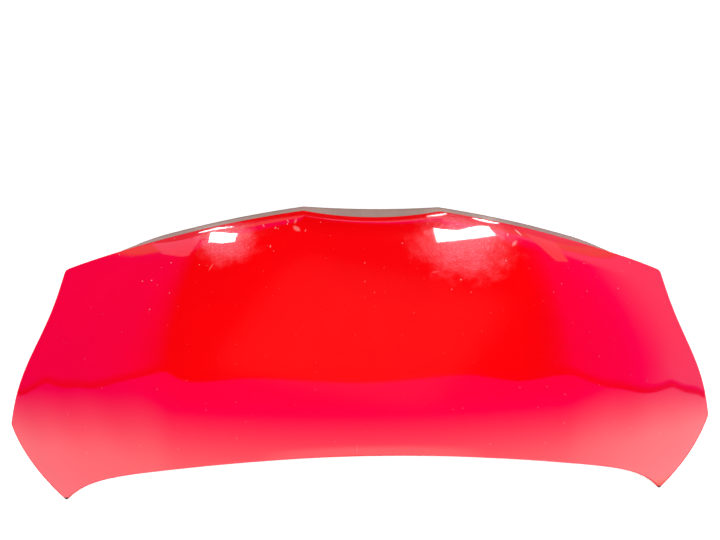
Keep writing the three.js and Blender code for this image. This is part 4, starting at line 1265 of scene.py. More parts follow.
@dataclass
class OuterSkin:
    """The red outer sheet with its hem folded all round."""

    panel: PanelForm
    placed: Placement
    sheet: float = 0.8 * MM
    side_fold: float = 3.5 * MM
    nose_fold: float = 1.9 * MM
    hem_width: float = 9.0 * MM
    tip_round: float = 5.0 * MM
    nose_corner_round: float = 7.0 * MM
    inset_lines: int = 12
    wave_height: float = 0.16 * MM

    def ripple(self, xy: np.ndarray) -> np.ndarray:
        """Slight waviness of a used panel: crossed sine waves that grow towards the sides."""
        x, y = xy[..., 0], xy[..., 1]
        outboard = smoothstep(np.abs(x), 0.22, 0.60)
        rear = smoothstep(y, 0.40, 0.24)
        waves = np.sin(x * 41.0 + 0.6) * np.cos(y * 15.0) + 0.5 * np.sin(x * 67.0 + y * 22.0)
        return self.wave_height * waves * outboard * np.clip(rear, 0.15, 1.0)

    def plan_grid(self, s: np.ndarray, t: np.ndarray) -> np.ndarray:
        """Plan of the sheet inside its fold, with its four corners rounded."""
        xy = self.panel.plan(s, t)
        for i, inside in ((0, 3), (-1, -4)):
            for j, ahead, reach in ((0, 3, self.tip_round), (-1, -4, self.nose_corner_round)):
                corner = xy[i, j].copy()
                xy = round_corner(xy, corner, xy[inside, j] - corner, xy[i, ahead] - corner, reach, 1.0)
        return xy

    def face(self, xy: np.ndarray, depth: np.ndarray) -> np.ndarray:
        """Points a depth under the waved outer face."""
        points = self.panel.below(xy, depth)
        points[..., 2] += self.ripple(xy)
        return points

    def fold_profile(self, radius: np.ndarray, width: np.ndarray) -> tuple[np.ndarray, np.ndarray]:
        """Section of the folded hem as offsets inward from the grid's edge and depths.

        An outer half circle, the flat return, its end, the return's inner side and an inner half circle.

        Args:
            radius: Outer radius of the fold at each station.
            width: Width of the return at each station, from the grid's edge.

        Returns:
            Inward offsets and depths, with stations by rows.
        """
        turn = np.linspace(0.0, np.pi, 10)[None, :]
        r, w = radius[:, None], width[:, None]
        inner = np.maximum(r - self.sheet, 0.05 * MM)
        offset = np.concatenate([-r * np.sin(turn), w / 2.0, w, w, w / 2.0, -inner * np.sin(turn)], axis=1)
        low = 2.0 * r
        high = r + inner
        depth = np.concatenate([r * (1.0 - np.cos(turn)), low, low, high, high,
                                r + inner * np.cos(turn)], axis=1)
        return offset, depth

    def build(self, finish: bpy.types.Material) -> bpy.types.Object:
        """Makes the skin: two sheets of a grid, joined round their edge by the folded hem."""
        s_lines = spaced_lines([-1.0, -0.965, 0.965, 1.0], [0.0028, 0.0074, 0.0028])
        t_lines = spaced_lines([0.0, 0.07, 0.88, 1.0], [0.0050, 0.0096, 0.0056])
        s, t = np.meshgrid(s_lines, t_lines, indexing="ij")
        xy = self.plan_grid(s, t)
        numbers = grid_numbers(*s.shape)
        count = numbers.size
        ring = np.concatenate([numbers[:-1, 0], numbers[-1, :-1], numbers[:0:-1, -1], numbers[0, :0:-1]])
        rim = xy.reshape(-1, 2)[ring]
        ahead = np.roll(rim, -1, axis=0) - np.roll(rim, 1, axis=0)
        inward = np.stack([-ahead[:, 1], ahead[:, 0]], axis=-1)
        inward /= np.linalg.norm(inward, axis=1, keepdims=True)
        corners = xy.reshape(-1, 2)[[numbers[0, 0], numbers[-1, 0], numbers[-1, -1], numbers[0, -1]]]
        gaps = np.linalg.norm(rim[:, None, :] - corners[None, :, :], axis=-1)
        on_nose = t.reshape(-1)[ring] > 1.0 - 1e-9
        nose_share = np.where(on_nose, smoothstep(gaps[:, 2:].min(axis=1), 0.0, 0.03), 0.0)
        fold = lerp(self.side_fold, self.nose_fold, nose_share) / 2.0
        width = lerp(0.6 * MM, self.hem_width - self.side_fold / 2.0,
                     smoothstep(gaps.min(axis=1), 6.0 * MM, 34.0 * MM))

        inset = np.zeros_like(xy)
        inset.reshape(-1, 2)[ring] = inward * fold[:, None]
        xy = xy + carried_inward(inset, self.inset_lines)
        rim = xy.reshape(-1, 2)[ring]
        upper = self.face(xy, np.zeros(s.shape))
        lower = self.face(xy, np.full(s.shape, self.sheet))
        offset, depth = self.fold_profile(fold, width)
        feet = rim[:, None, :] + inward[:, None, :] * offset[..., None]
        hem = self.face(feet, depth)

        stations, steps = offset.shape
        hem_numbers = 2 * count + np.arange(stations * (steps - 2)).reshape(stations, steps - 2)
        strip = np.column_stack([ring, hem_numbers, ring + count])
        strip = np.concatenate([strip, strip[:1]])
        points = np.concatenate([upper.reshape(-1, 3), lower.reshape(-1, 3), hem[:, 1:-1].reshape(-1, 3)])
        flat = cells(numbers).reshape(-1, 4)
        faces = np.concatenate([flat, flat[:, ::-1] + count, cells(strip).reshape(-1, 4)[:, ::-1]])
        piece = make_piece("painted_skin", self.placed(points), faces, finish, ["outer_skin"],
                           50.0)
        inner = np.zeros(len(points), np.float32)
        inner[count:2 * count] = 1.0
        attribute = piece.data.attributes.new("inner_face", "FLOAT", "POINT")
        attribute.data.foreach_set("value", inner)
        return piece


@dataclass
class InnerFrame:
    """The pressed inner frame with its windows, drilled for what is fixed to it."""

    form: FrameForm
    placed: Placement
    window_corner: float = 24 * MM
    window_spread: float = 12 * MM
    corner_round: float = 12 * MM
    step_across: float = 0.0058
    step_along: float = 0.0085
    drain_slot: tuple[float, float] = (34 * MM, 14 * MM)
    drain_station: float = 0.4
    cutter_height: float = 24 * MM
    holes: list[tuple[np.ndarray, np.ndarray, float]] = field(default_factory=list)

    def lines(self) -> tuple[np.ndarray, np.ndarray]:
        """Grid lines across and along, through every window edge."""
        form = self.form
        stops = sorted({abs(v) for span in form.windows() for v in span})
        across = [-1.0, *[-v for v in reversed(stops)], *stops, 1.0]
        along = [0.0, form.rear_rows[0], form.rear_rows[4], form.front_rows[0], form.front_rows[4], 1.0]
        s_lines = spaced_lines(across, [self.step_across] * (len(across) - 1))
        t_lines = spaced_lines(along, [self.step_along] * (len(along) - 1))
        return s_lines, t_lines

    def metal(self, s_lines: np.ndarray, t_lines: np.ndarray) -> np.ndarray:
        """Marks the cells that are metal: all but those inside the windows."""
        s = (s_lines[:-1] + s_lines[1:])[:, None] / 2.0
        t = (t_lines[:-1] + t_lines[1:])[None, :] / 2.0
        along = (t > self.form.rear_rows[4]) & (t < self.form.front_rows[0])
        across = np.zeros_like(s, dtype=bool)
        for low, high in self.form.windows():
            across |= (s > low) & (s < high)
        return ~(across & along)

    def plan_grid(self, s: np.ndarray, t: np.ndarray) -> np.ndarray:
        """Plan of the frame with the windows' corners and its own four corners rounded."""
        form = self.form
        xy = form.plan(s, t)
        rows = (form.rear_rows[4], form.front_rows[0])
        for span in form.windows():
            at = [[form.plan(np.float64(a), np.float64(b)) for b in rows] for a in span]
            for i in (0, 1):
                for j in (0, 1):
                    xy = round_corner(xy, at[i][j], at[1 - i][j] - at[i][j], at[i][1 - j] - at[i][j],
                                      self.window_corner, self.window_spread)
        for i, inside in ((0, 4), (-1, -5)):
            for j, ahead in ((0, 4), (-1, -5)):
                corner = xy[i, j].copy()
                xy = round_corner(xy, corner, xy[inside, j] - corner, xy[i, ahead] - corner,
                                  self.corner_round, 1.0)
        return xy

    def bore(self, foot: np.ndarray, normal: np.ndarray, diameter: float) -> None:
        """Asks for a hole through the frame, square to it at a foot in the forms' own frame."""
        self.holes.append((foot, normal, diameter))

    def cutters(self) -> list[bpy.types.Object]:
        """Cutter objects for every round hole and for the drain slots."""
        made = []
        half = self.cutter_height / 2.0
        shapes = []
        for foot, normal, diameter in self.holes:
            r = diameter / 2.0
            profile = np.array([[0.0, -half], [r, -half], [r, half], [0.0, half]])
            points, faces = turned(profile, 48)
            shapes.append((self.placed(tilted(points, foot, normal)), faces))
        length, width = self.drain_slot
        t = sum(self.form.front_rows[2:4]) / 2.0
        for s in (-self.drain_station, self.drain_station):
            foot, _ = self.form.seat(s, t)
            profile = np.array([[0.0, -half], [width / 2.0, -half], [width / 2.0, half], [0.0, half]])
            points, faces = turned(profile, 48)
            points[:, 0] += np.sign(points[:, 0]) * (length - width) / 2.0
            shapes.append((self.placed(points + foot), faces))
        for k, (points, faces) in enumerate(shapes):
            mesh = bpy.data.meshes.new(f"frame_cutter_{k}")
            mesh.from_pydata(points.tolist(), [], [list(dict.fromkeys(f)) for f in faces.tolist()])
            cutter = bpy.data.objects.new(mesh.name, mesh)
            bpy.context.scene.collection.objects.link(cutter)
            made.append(cutter)
        return made

    def build(self, finish: bpy.types.Material) -> bpy.types.Object:
        """Makes the frame's closed sheet and cuts its holes."""
        s_lines, t_lines = self.lines()
        s, t = np.meshgrid(s_lines, t_lines, indexing="ij")
        xy = self.plan_grid(s, t)
        level = self.form.upper_face(s, t, xy)
        upper = np.concatenate([xy, level[..., None]], axis=-1)
        lower = upper - np.array([0.0, 0.0, self.form.frame_sheet])
        points = np.concatenate([upper.reshape(-1, 3), lower.reshape(-1, 3)])
        points, faces = drop_unused(points, sheet_faces(self.metal(s_lines, t_lines)))
        piece = make_piece("ribbed_frame", self.placed(points), faces, finish, ["inner_frame"],
                           50.0)
        cutters = self.cutters()
        for cutter in cutters:
            modifier = piece.modifiers.new("hole", "BOOLEAN")
            modifier.operation = "DIFFERENCE"
            modifier.object = cutter
        graph = bpy.context.evaluated_depsgraph_get()
        cut = bpy.data.meshes.new_from_object(piece.evaluated_get(graph))
        piece.modifiers.clear()
        old = piece.data
        piece.data = cut
        bpy.data.meshes.remove(old)
        cut.name = "ribbed_frame"
        cut.set_sharp_from_angle(angle=math.radians(50.0))
        for cutter in cutters:
            bpy.data.objects.remove(cutter)
        log.info("ribbed_frame: %d faces after %d holes", len(cut.polygons), len(cutters))
        return piece


def nut_shape(flats: float, height: float, bore: float, pitch: float) -> tuple[np.ndarray, np.ndarray]:
    """Hexagon nut: coned corners outside, and a bore whose radius rises and falls once a pitch.

    Args:
        flats: Distance across the flats.
        height: Height from 0 up.
        bore: Bore diameter at the thread's crests.
        pitch: Thread pitch.

    Returns:
        Vertices and faces.
    """
    outer = flats / math.sqrt(3.0)
    cone = 0.12 * flats
    turns = max(2, round(height / pitch))
    z = np.linspace(height, 0.0, turns * 4 + 1)
    wave = 0.25 * pitch * (1.0 - np.cos(2.0 * np.pi * z / height * turns)) + 1e-5
    radius = bore / 2.0 + wave
    chamfer = np.clip(1.0 - np.minimum(z, height - z) / (0.4 * pitch), 0.0, 1.0) * 0.3 * pitch
    inside = np.column_stack([radius + chamfer, z])
    rim = np.array([[flats / 2.0 * 0.97, 0.0], [outer, 0.0], [outer, cone / 2.0], [outer, height / 2.0],
                    [outer, height - cone / 2.0], [outer, height], [flats / 2.0 * 0.97, height]])
    both = hexagonal(flats, height, cone)

    def reshape(angle: np.ndarray, r: np.ndarray, h: np.ndarray) -> np.ndarray:
        """Cones the corners at both ends."""
        return both(angle, r, np.maximum(h, height - h))

    return turned(np.concatenate([rim, inside]), 72, reshape)


@dataclass
class HingeFixing:
    """Reinforcement plate and two weld nuts over each hinge pad."""

    form: FrameForm
    placed: Placement
    frame: InnerFrame
    bolt_pitch: float = 26 * MM
    plate: tuple[float, float, float] = (46 * MM, 24 * MM, 2 * MM)
    plate_corner: float = 5 * MM
    thread: float = 8 * MM
    nut_flats: float = 13 * MM
    nut_height: float = 6.5 * MM
    clearance: float = 0.3 * MM
    pitch: float = 1.25 * MM

    def build(self, finish: bpy.types.Material) -> None:
        """Makes both sides and bores the frame below them."""
        x, y = self.form.hinge_centre()
        seat = self.form.hinge_level() + self.clearance
        length, width, thickness = self.plate
        hole = self.thread / 2.0 + self.clearance
        for side in Side:
            holes = [(-self.bolt_pitch / 2.0, hole), (self.bolt_pitch / 2.0, hole)]
            points, faces = rounded_plate(length, width, thickness, self.plate_corner, holes)
            foot = np.array([side.value * x, y, seat])
            node = f"hinge_reinforcement_{side.word}"
            make_piece(f"hinge_plate_{side.word}", self.placed(points + foot), faces, finish,
                       [node])
            for k, step in enumerate((-1, 1)):
                centre = np.array([side.value * (x + step * self.bolt_pitch / 2.0), y, seat])
                self.frame.bore(centre, np.array([0.0, 0.0, 1.0]), 2.0 * hole)
                points, faces = nut_shape(self.nut_flats, self.nut_height, self.thread, self.pitch)
                foot = centre + np.array([0.0, 0.0, thickness + self.clearance])
                node = f"hinge_weld_nut_{side.word}_{k + 1}"
                make_piece(f"hinge_nut_{side.word}_{k + 1}", self.placed(points + foot), faces, finish,
                           [node])


@dataclass
class LatchFixing:
    """Latch reinforcement, striker plate and loop, with their nuts and bolts, behind the nose."""

    form: FrameForm
    placed: Placement
    frame: InnerFrame
    stiffener: tuple[float, float, float] = (132 * MM, 34 * MM, 1.5 * MM)
    stiffener_corner: float = 8 * MM
    striker: tuple[float, float, float] = (92 * MM, 30 * MM, 3 * MM)
    striker_corner: float = 7 * MM
    bolt_pitch: float = 70 * MM
    thread: float = 6 * MM
    thread_pitch: float = 1.0 * MM
    nut_flats: float = 10 * MM
    nut_height: float = 5 * MM
    head_height: float = 4 * MM
    flange: float = 14 * MM
    flange_height: float = 1.6 * MM
    loop_wire: float = 8 * MM
    loop_pitch: float = 36 * MM
    loop_drop: float = 36 * MM
    loop_bend: float = 9 * MM
    clearance: float = 0.3 * MM

    def bolt_shape(self, shank: float) -> tuple[np.ndarray, np.ndarray]:
        """Flange bolt, head down: coned hexagon, round flange and a shank whose radius waves with the thread.

        Args:
            shank: Length of the shank above the flange.

        Returns:
            Vertices and faces, with the flange's upper face at 0.
        """
        low = -self.flange_height - self.head_height
        corner = self.nut_flats / math.sqrt(3.0)
        cone = 0.12 * self.nut_flats
        z = np.linspace(0.0, shank - 0.8 * MM, round(shank / self.thread_pitch) * 4 + 1)
        wave = 1.0 - np.cos(2.0 * np.pi * z / self.thread_pitch)
        crest = self.thread / 2.0 - 0.25 * self.thread_pitch * wave
        head = np.array([
            [0.0, low + 0.5 * MM], [0.30 * self.nut_flats, low + 0.5 * MM], [0.36 * self.nut_flats, low],
            [0.485 * self.nut_flats, low], [corner, low], [corner, low + cone / 2.0], [corner, low + cone],
            [corner, -self.flange_height],
            [self.flange / 2.0 - 0.6 * MM, -self.flange_height + 0.1 * MM],
            [self.flange / 2.0, -self.flange_height + 0.6 * MM], [self.flange / 2.0, -0.2 * MM],
            [self.flange / 2.0 - 0.3 * MM, 0.0],
        ])
        tip = np.array([[self.thread / 2.0 - 0.8 * MM, shank], [0.0, shank]])
        hexagon = hexagonal(self.nut_flats, -low, cone)

        def reshape(angle: np.ndarray, r: np.ndarray, h: np.ndarray) -> np.ndarray:
            """Cuts only the head to a hexagon."""
            return np.where(h <= -self.flange_height + 1e-9, hexagon(angle, r, -h), r)

        return turned(np.concatenate([head, np.column_stack([crest, z]), tip]), 72, reshape)

    def loop_path(self, top: float, low: float) -> np.ndarray:
        """Centreline of the striker loop: two legs, two quarter bends and the bar between them."""
        x, r = self.loop_pitch / 2.0, self.loop_bend
        bar = low + self.loop_wire / 2.0
        turn = np.linspace(0.0, np.pi / 2.0, 12)
        left = np.column_stack([-x + r - r * np.cos(turn), bar + r - r * np.sin(turn)])
        right = np.column_stack([x - r + r * np.sin(turn), bar + r - r * np.cos(turn)])
        legs = np.linspace(top, bar + r, 14)[:-1]
        down = np.column_stack([np.full(len(legs), -x), legs])
        across = np.column_stack([np.linspace(-x + r, x - r, 10)[1:-1], np.full(8, bar)])
        up = np.column_stack([np.full(len(legs), x), legs[::-1]])
        flat = np.concatenate([down, left, across, right, up])
        y = self.form.latch_centre()[1]
        return np.column_stack([flat[:, 0], np.full(len(flat), y), flat[:, 1]])

    def build(self, finish: bpy.types.Material) -> None:
        """Makes the plates, the loop and the fasteners, and bores the frame for them."""
        y = self.form.latch_centre()[1]
        pad = self.form.latch_level()
        upper = pad + self.clearance
        hole = self.thread / 2.0 + self.clearance
        bolts = [(-self.bolt_pitch / 2.0, hole), (self.bolt_pitch / 2.0, hole)]
        points, faces = rounded_plate(*self.stiffener, self.stiffener_corner, bolts)
        make_piece("latch_stiffener", self.placed(points + np.array([0.0, y, upper])), faces, finish,
                   ["latch_reinforcement"])

        plate_top = pad - self.form.frame_sheet - self.clearance
        plate_low = plate_top - self.striker[2]
        legs = [(x, self.loop_wire / 2.0 + 0.1 * MM) for x in (-self.loop_pitch / 2.0, self.loop_pitch / 2.0)]
        points, faces = rounded_plate(*self.striker, self.striker_corner, bolts + legs)
        make_piece("striker_base", self.placed(points + np.array([0.0, y, plate_low])), faces, finish,
                   ["striker_plate"])

        path = self.loop_path(plate_top - self.loop_wire * 0.25, plate_low - self.loop_drop)
        points, faces = swept_rod(path, self.loop_wire / 2.0, 28)
        make_piece("striker_wire", self.placed(points), faces, finish, ["striker_loop"])

        nut_seat = upper + self.stiffener[2] + self.clearance
        bolt_seat = plate_low - self.clearance
        for side in Side:
            x = side.value * self.bolt_pitch / 2.0
            self.frame.bore(np.array([x, y, pad]), np.array([0.0, 0.0, 1.0]), 2.0 * hole)
            points, faces = nut_shape(self.nut_flats, self.nut_height, 2.0 * hole, self.thread_pitch)
            make_piece(f"striker_nut_{side.word}", self.placed(points + np.array([x, y, nut_seat])), faces,
                       finish, [f"striker_weld_nut_{side.word}"])
            points, faces = self.bolt_shape(nut_seat - bolt_seat + self.nut_height)
            make_piece(f"striker_screw_{side.word}", self.placed(points + np.array([x, y, bolt_seat])), faces,
                       finish, [f"striker_bolt_{side.word}"])


def eased(profile: list[tuple[float, float]], radius: float) -> np.ndarray:
    """Rounds the corners of a profile of (radius, height) pairs by short quadratic curves.

    Args:
        profile: Corner points, open or closed by repeating the first.
        radius: Most length of each side that a corner's curve takes up.

    Returns:
        The eased profile.
    """
    points = np.array(profile)
    share = np.linspace(0.0, 1.0, 4)[:, None]
    out = [points[:1]]
    for before, corner, after in zip(points[:-2], points[1:-1], points[2:]):
        back, on = before - corner, after - corner
        a = corner + back * min(0.45, radius / np.linalg.norm(back))
        b = corner + on * min(0.45, radius / np.linalg.norm(on))
        out.append((1 - share) ** 2 * a + 2 * share * (1 - share) * corner + share**2 * b)
    out.append(points[-1:])
    return np.concatenate(out)


@dataclass
class RubberFittings:
    """Bump stops, blanking plugs and the prop rod's grommet, each pressed into the frame."""

    form: FrameForm
    placed: Placement
    frame: InnerFrame
    stop_radius: float = 12 * MM
    stop_height: float = 11 * MM
    stop_neck: float = 5 * MM
    front_stop: float = 0.74
    rear_stop: float = 0.68
    plug_radius: float = 14 * MM
    plug_hole: float = 22 * MM
    plug_stations: tuple[float, float] = (0.1, 0.4)
    socket_outer: float = 22 * MM
    socket_bore: float = 9 * MM
    socket_t: float = 0.52
    groove: float = 2.2 * MM
    seat_gap: float = 0.6 * MM
    wall_gap: float = 0.3 * MM
    edge_ease: float = 0.7 * MM

    def stop_profile(self) -> np.ndarray:
        """Bump stop: a ribbed cushion below the frame, a neck through it and a bead above."""
        r, h, n, g = self.stop_radius, self.stop_height, self.stop_neck, self.groove
        top = g + 5 * MM
        return eased([
            (0.0, -h + 0.8 * MM), (r * 0.22, -h + 0.8 * MM), (r * 0.34, -h), (r * 0.58, -h),
            (r * 0.80, -h * 0.84), (r * 0.90, -h * 0.52), (r * 0.86, -h * 0.42), (r, -h * 0.30), (r, -self.seat_gap),
            (n, -self.seat_gap), (n, g), (n + 2 * MM, g), (n + 2 * MM, g + 1.5 * MM), (n - 1.5 * MM, top),
            (0.0, top)], self.edge_ease)

    def plug_profile(self) -> np.ndarray:
        """Blanking plug: a dished cap, a grooved neck and a hollow back."""
        r, n, g = self.plug_radius, self.plug_hole / 2.0 - self.wall_gap, self.groove
        wall = n - 2 * MM
        return eased([
            (0.0, -0.6 * MM), (n * 0.30, -0.6 * MM), (n * 0.36, -1.0 * MM), (n * 0.42, -0.6 * MM),
            (n - 3 * MM, -0.6 * MM), (wall, -2.4 * MM), (r - 0.8 * MM, -2.2 * MM), (r, -self.seat_gap),
            (n, -self.seat_gap), (n, g), (n + 1 * MM, g + 0.8 * MM), (n - 0.8 * MM, g + 2.6 * MM),
            (wall, g + 2.6 * MM), (wall, 1 * MM), (0.0, 1 * MM)], self.edge_ease)

    def socket_profile(self) -> np.ndarray:
        """Grommet: a flanged ring with a grooved neck and a lead-in at its bore, closed on itself."""
        b, n, g = self.socket_bore / 2.0, self.socket_outer / 2.0 - self.wall_gap, self.groove
        rim = n + 3 * MM
        loop = [(b, 0.0), (b, -2.0 * MM), (b + 0.8 * MM, -2.8 * MM), (rim - 1 * MM, -2.8 * MM), (rim, -2 * MM),
                (rim, -self.seat_gap), (n, -self.seat_gap), (n, g), (rim - 1 * MM, g), (n - 1 * MM, g + 3 * MM),
                (b + 0.6 * MM, g + 3 * MM), (b, g + 2.4 * MM), (b, 0.0)]
        return eased(loop, self.edge_ease)[:-1]

    def press_in(self, name: str, node: str, profile: np.ndarray, seat: tuple[float, float], hole: float,
                 finish: bpy.types.Material) -> None:
        """Makes one turned piece on its seat, and the hole that it sits in.

        Args:
            name: The piece's name.
            node: The CAD node that it stands for.
            profile: (radius, height) pairs.
            seat: (s, t) on the frame.
            hole: Diameter of the hole in the frame.
            finish: The material.
        """
        foot, normal = self.form.seat(*seat)
        points, faces = turned(profile, 72)
        make_piece(name, self.placed(tilted(points, foot, normal)), faces, finish, [node], 45.0)
        self.frame.bore(foot, normal, hole)

    def build(self, finish: bpy.types.Material) -> None:
        """Makes all the rubber pieces."""
        rear_t = sum(self.form.rear_rows[1:3]) / 2.0
        front_t = sum(self.form.front_rows[2:4]) / 2.0
        stop_hole = 2.0 * (self.stop_neck + self.wall_gap)
        for side in Side:
            sign, word = side.value, side.word
            front, rear = (sign * self.front_stop, front_t), (sign * self.rear_stop, rear_t)
            self.press_in(f"nose_buffer_{word}", f"front_bump_stop_{word}", self.stop_profile(), front,
                          stop_hole, finish)
            self.press_in(f"rear_buffer_{word}", f"rear_bump_stop_{word}", self.stop_profile(), rear,
                          stop_hole, finish)
            for k, station in enumerate(self.plug_stations):
                self.press_in(f"frame_plug_{word}_{k + 1}", f"blanking_plug_{word}_{k + 1}",
                              self.plug_profile(), (sign * station, rear_t), self.plug_hole, finish)
        socket_s = sum(self.form.side_rows[2:4]) / 2.0
        self.press_in("prop_rod_socket", "prop_rod_grommet", self.socket_profile(),
                      (socket_s, self.socket_t), self.socket_outer, finish)


@dataclass
class MasticPads:
    """Dabs of mastic squeezed between the frame's flanges and the skin."""

    form: FrameForm
    placed: Placement
    radius: float = 6.4 * MM
    rows: tuple[float, float] = (0.34, 0.6)
    lumpiness: float = 0.09

    def dab(self, phase: float) -> tuple[np.ndarray, np.ndarray]:
        """A flattened dab whose radius wanders by two cosines round its edge."""
        half = (self.form.flange_depth - self.form.clearance * 0.6) / 2.0
        turn = np.linspace(-np.pi / 2.0, np.pi / 2.0, 15)
        profile = np.column_stack([self.radius * np.cos(turn) ** 0.35, half * np.sin(turn)])
        profile[0, 0] = profile[-1, 0] = 0.0

        def reshape(angle: np.ndarray, r: np.ndarray, h: np.ndarray) -> np.ndarray:
            """Wanders the edge."""
            wander = np.cos(2.0 * angle + phase) + 0.6 * np.cos(5.0 * angle + 2.3 * phase)
            return r * (1.0 + self.lumpiness * wander)

        return turned(profile, 48, reshape)

    def build(self, finish: bpy.types.Material) -> None:
        """Makes the dabs beside both ribs on both sides."""
        flange = self.form.rib_base + self.form.rib_ramp + self.form.rib_flange / 2.0
        columns = {"inner": self.form.inner_rib - flange, "outer": self.form.outer_rib - flange}
        for side in Side:
            for c, (column, s) in enumerate(columns.items()):
                for k, t in enumerate(self.rows):
                    foot, normal = self.form.seat(side.value * s, t)
                    middle = foot + normal * (self.form.frame_sheet + self.form.flange_depth / 2.0)
                    points, faces = self.dab(1.7 * c + 2.9 * k + 0.8 * side.value)
                    make_piece(f"dab_{column}_{side.word}_{k + 1}", self.placed(tilted(points, middle, normal)),
                               faces, finish, [f"mastic_{column}_{side.word}_{k + 1}"], 60.0)


# Studio


@dataclass(frozen=True)
class LampPatch:
    """A lit sheet that shows in the paint as a patch between two lines of the photograph's pixels."""

    name: str
    top: tuple[tuple[float, float], ...]
    low: tuple[tuple[float, float], ...]
    radiance: float
    distance: float = 2.2
    tint: Colour = (1.0, 1.0, 1.0, 1.0)
    columns: int = 17
    rows: int = 5

    def pixels(self) -> np.ndarray:
        """Grid of pixels that fills the patch, by column and row."""
        stations = np.linspace(0.0, 1.0, self.columns)
        lines = []
        for line in (self.top, self.low):
            knots = np.linspace(0.0, 1.0, len(line))
            lines.append(np.stack([np.interp(stations, knots, axis) for axis in np.array(line).T], axis=-1))
        share = np.linspace(0.0, 1.0, self.rows)[None, :, None]
        return lerp(lines[0][:, None, :], lines[1][:, None, :], share)


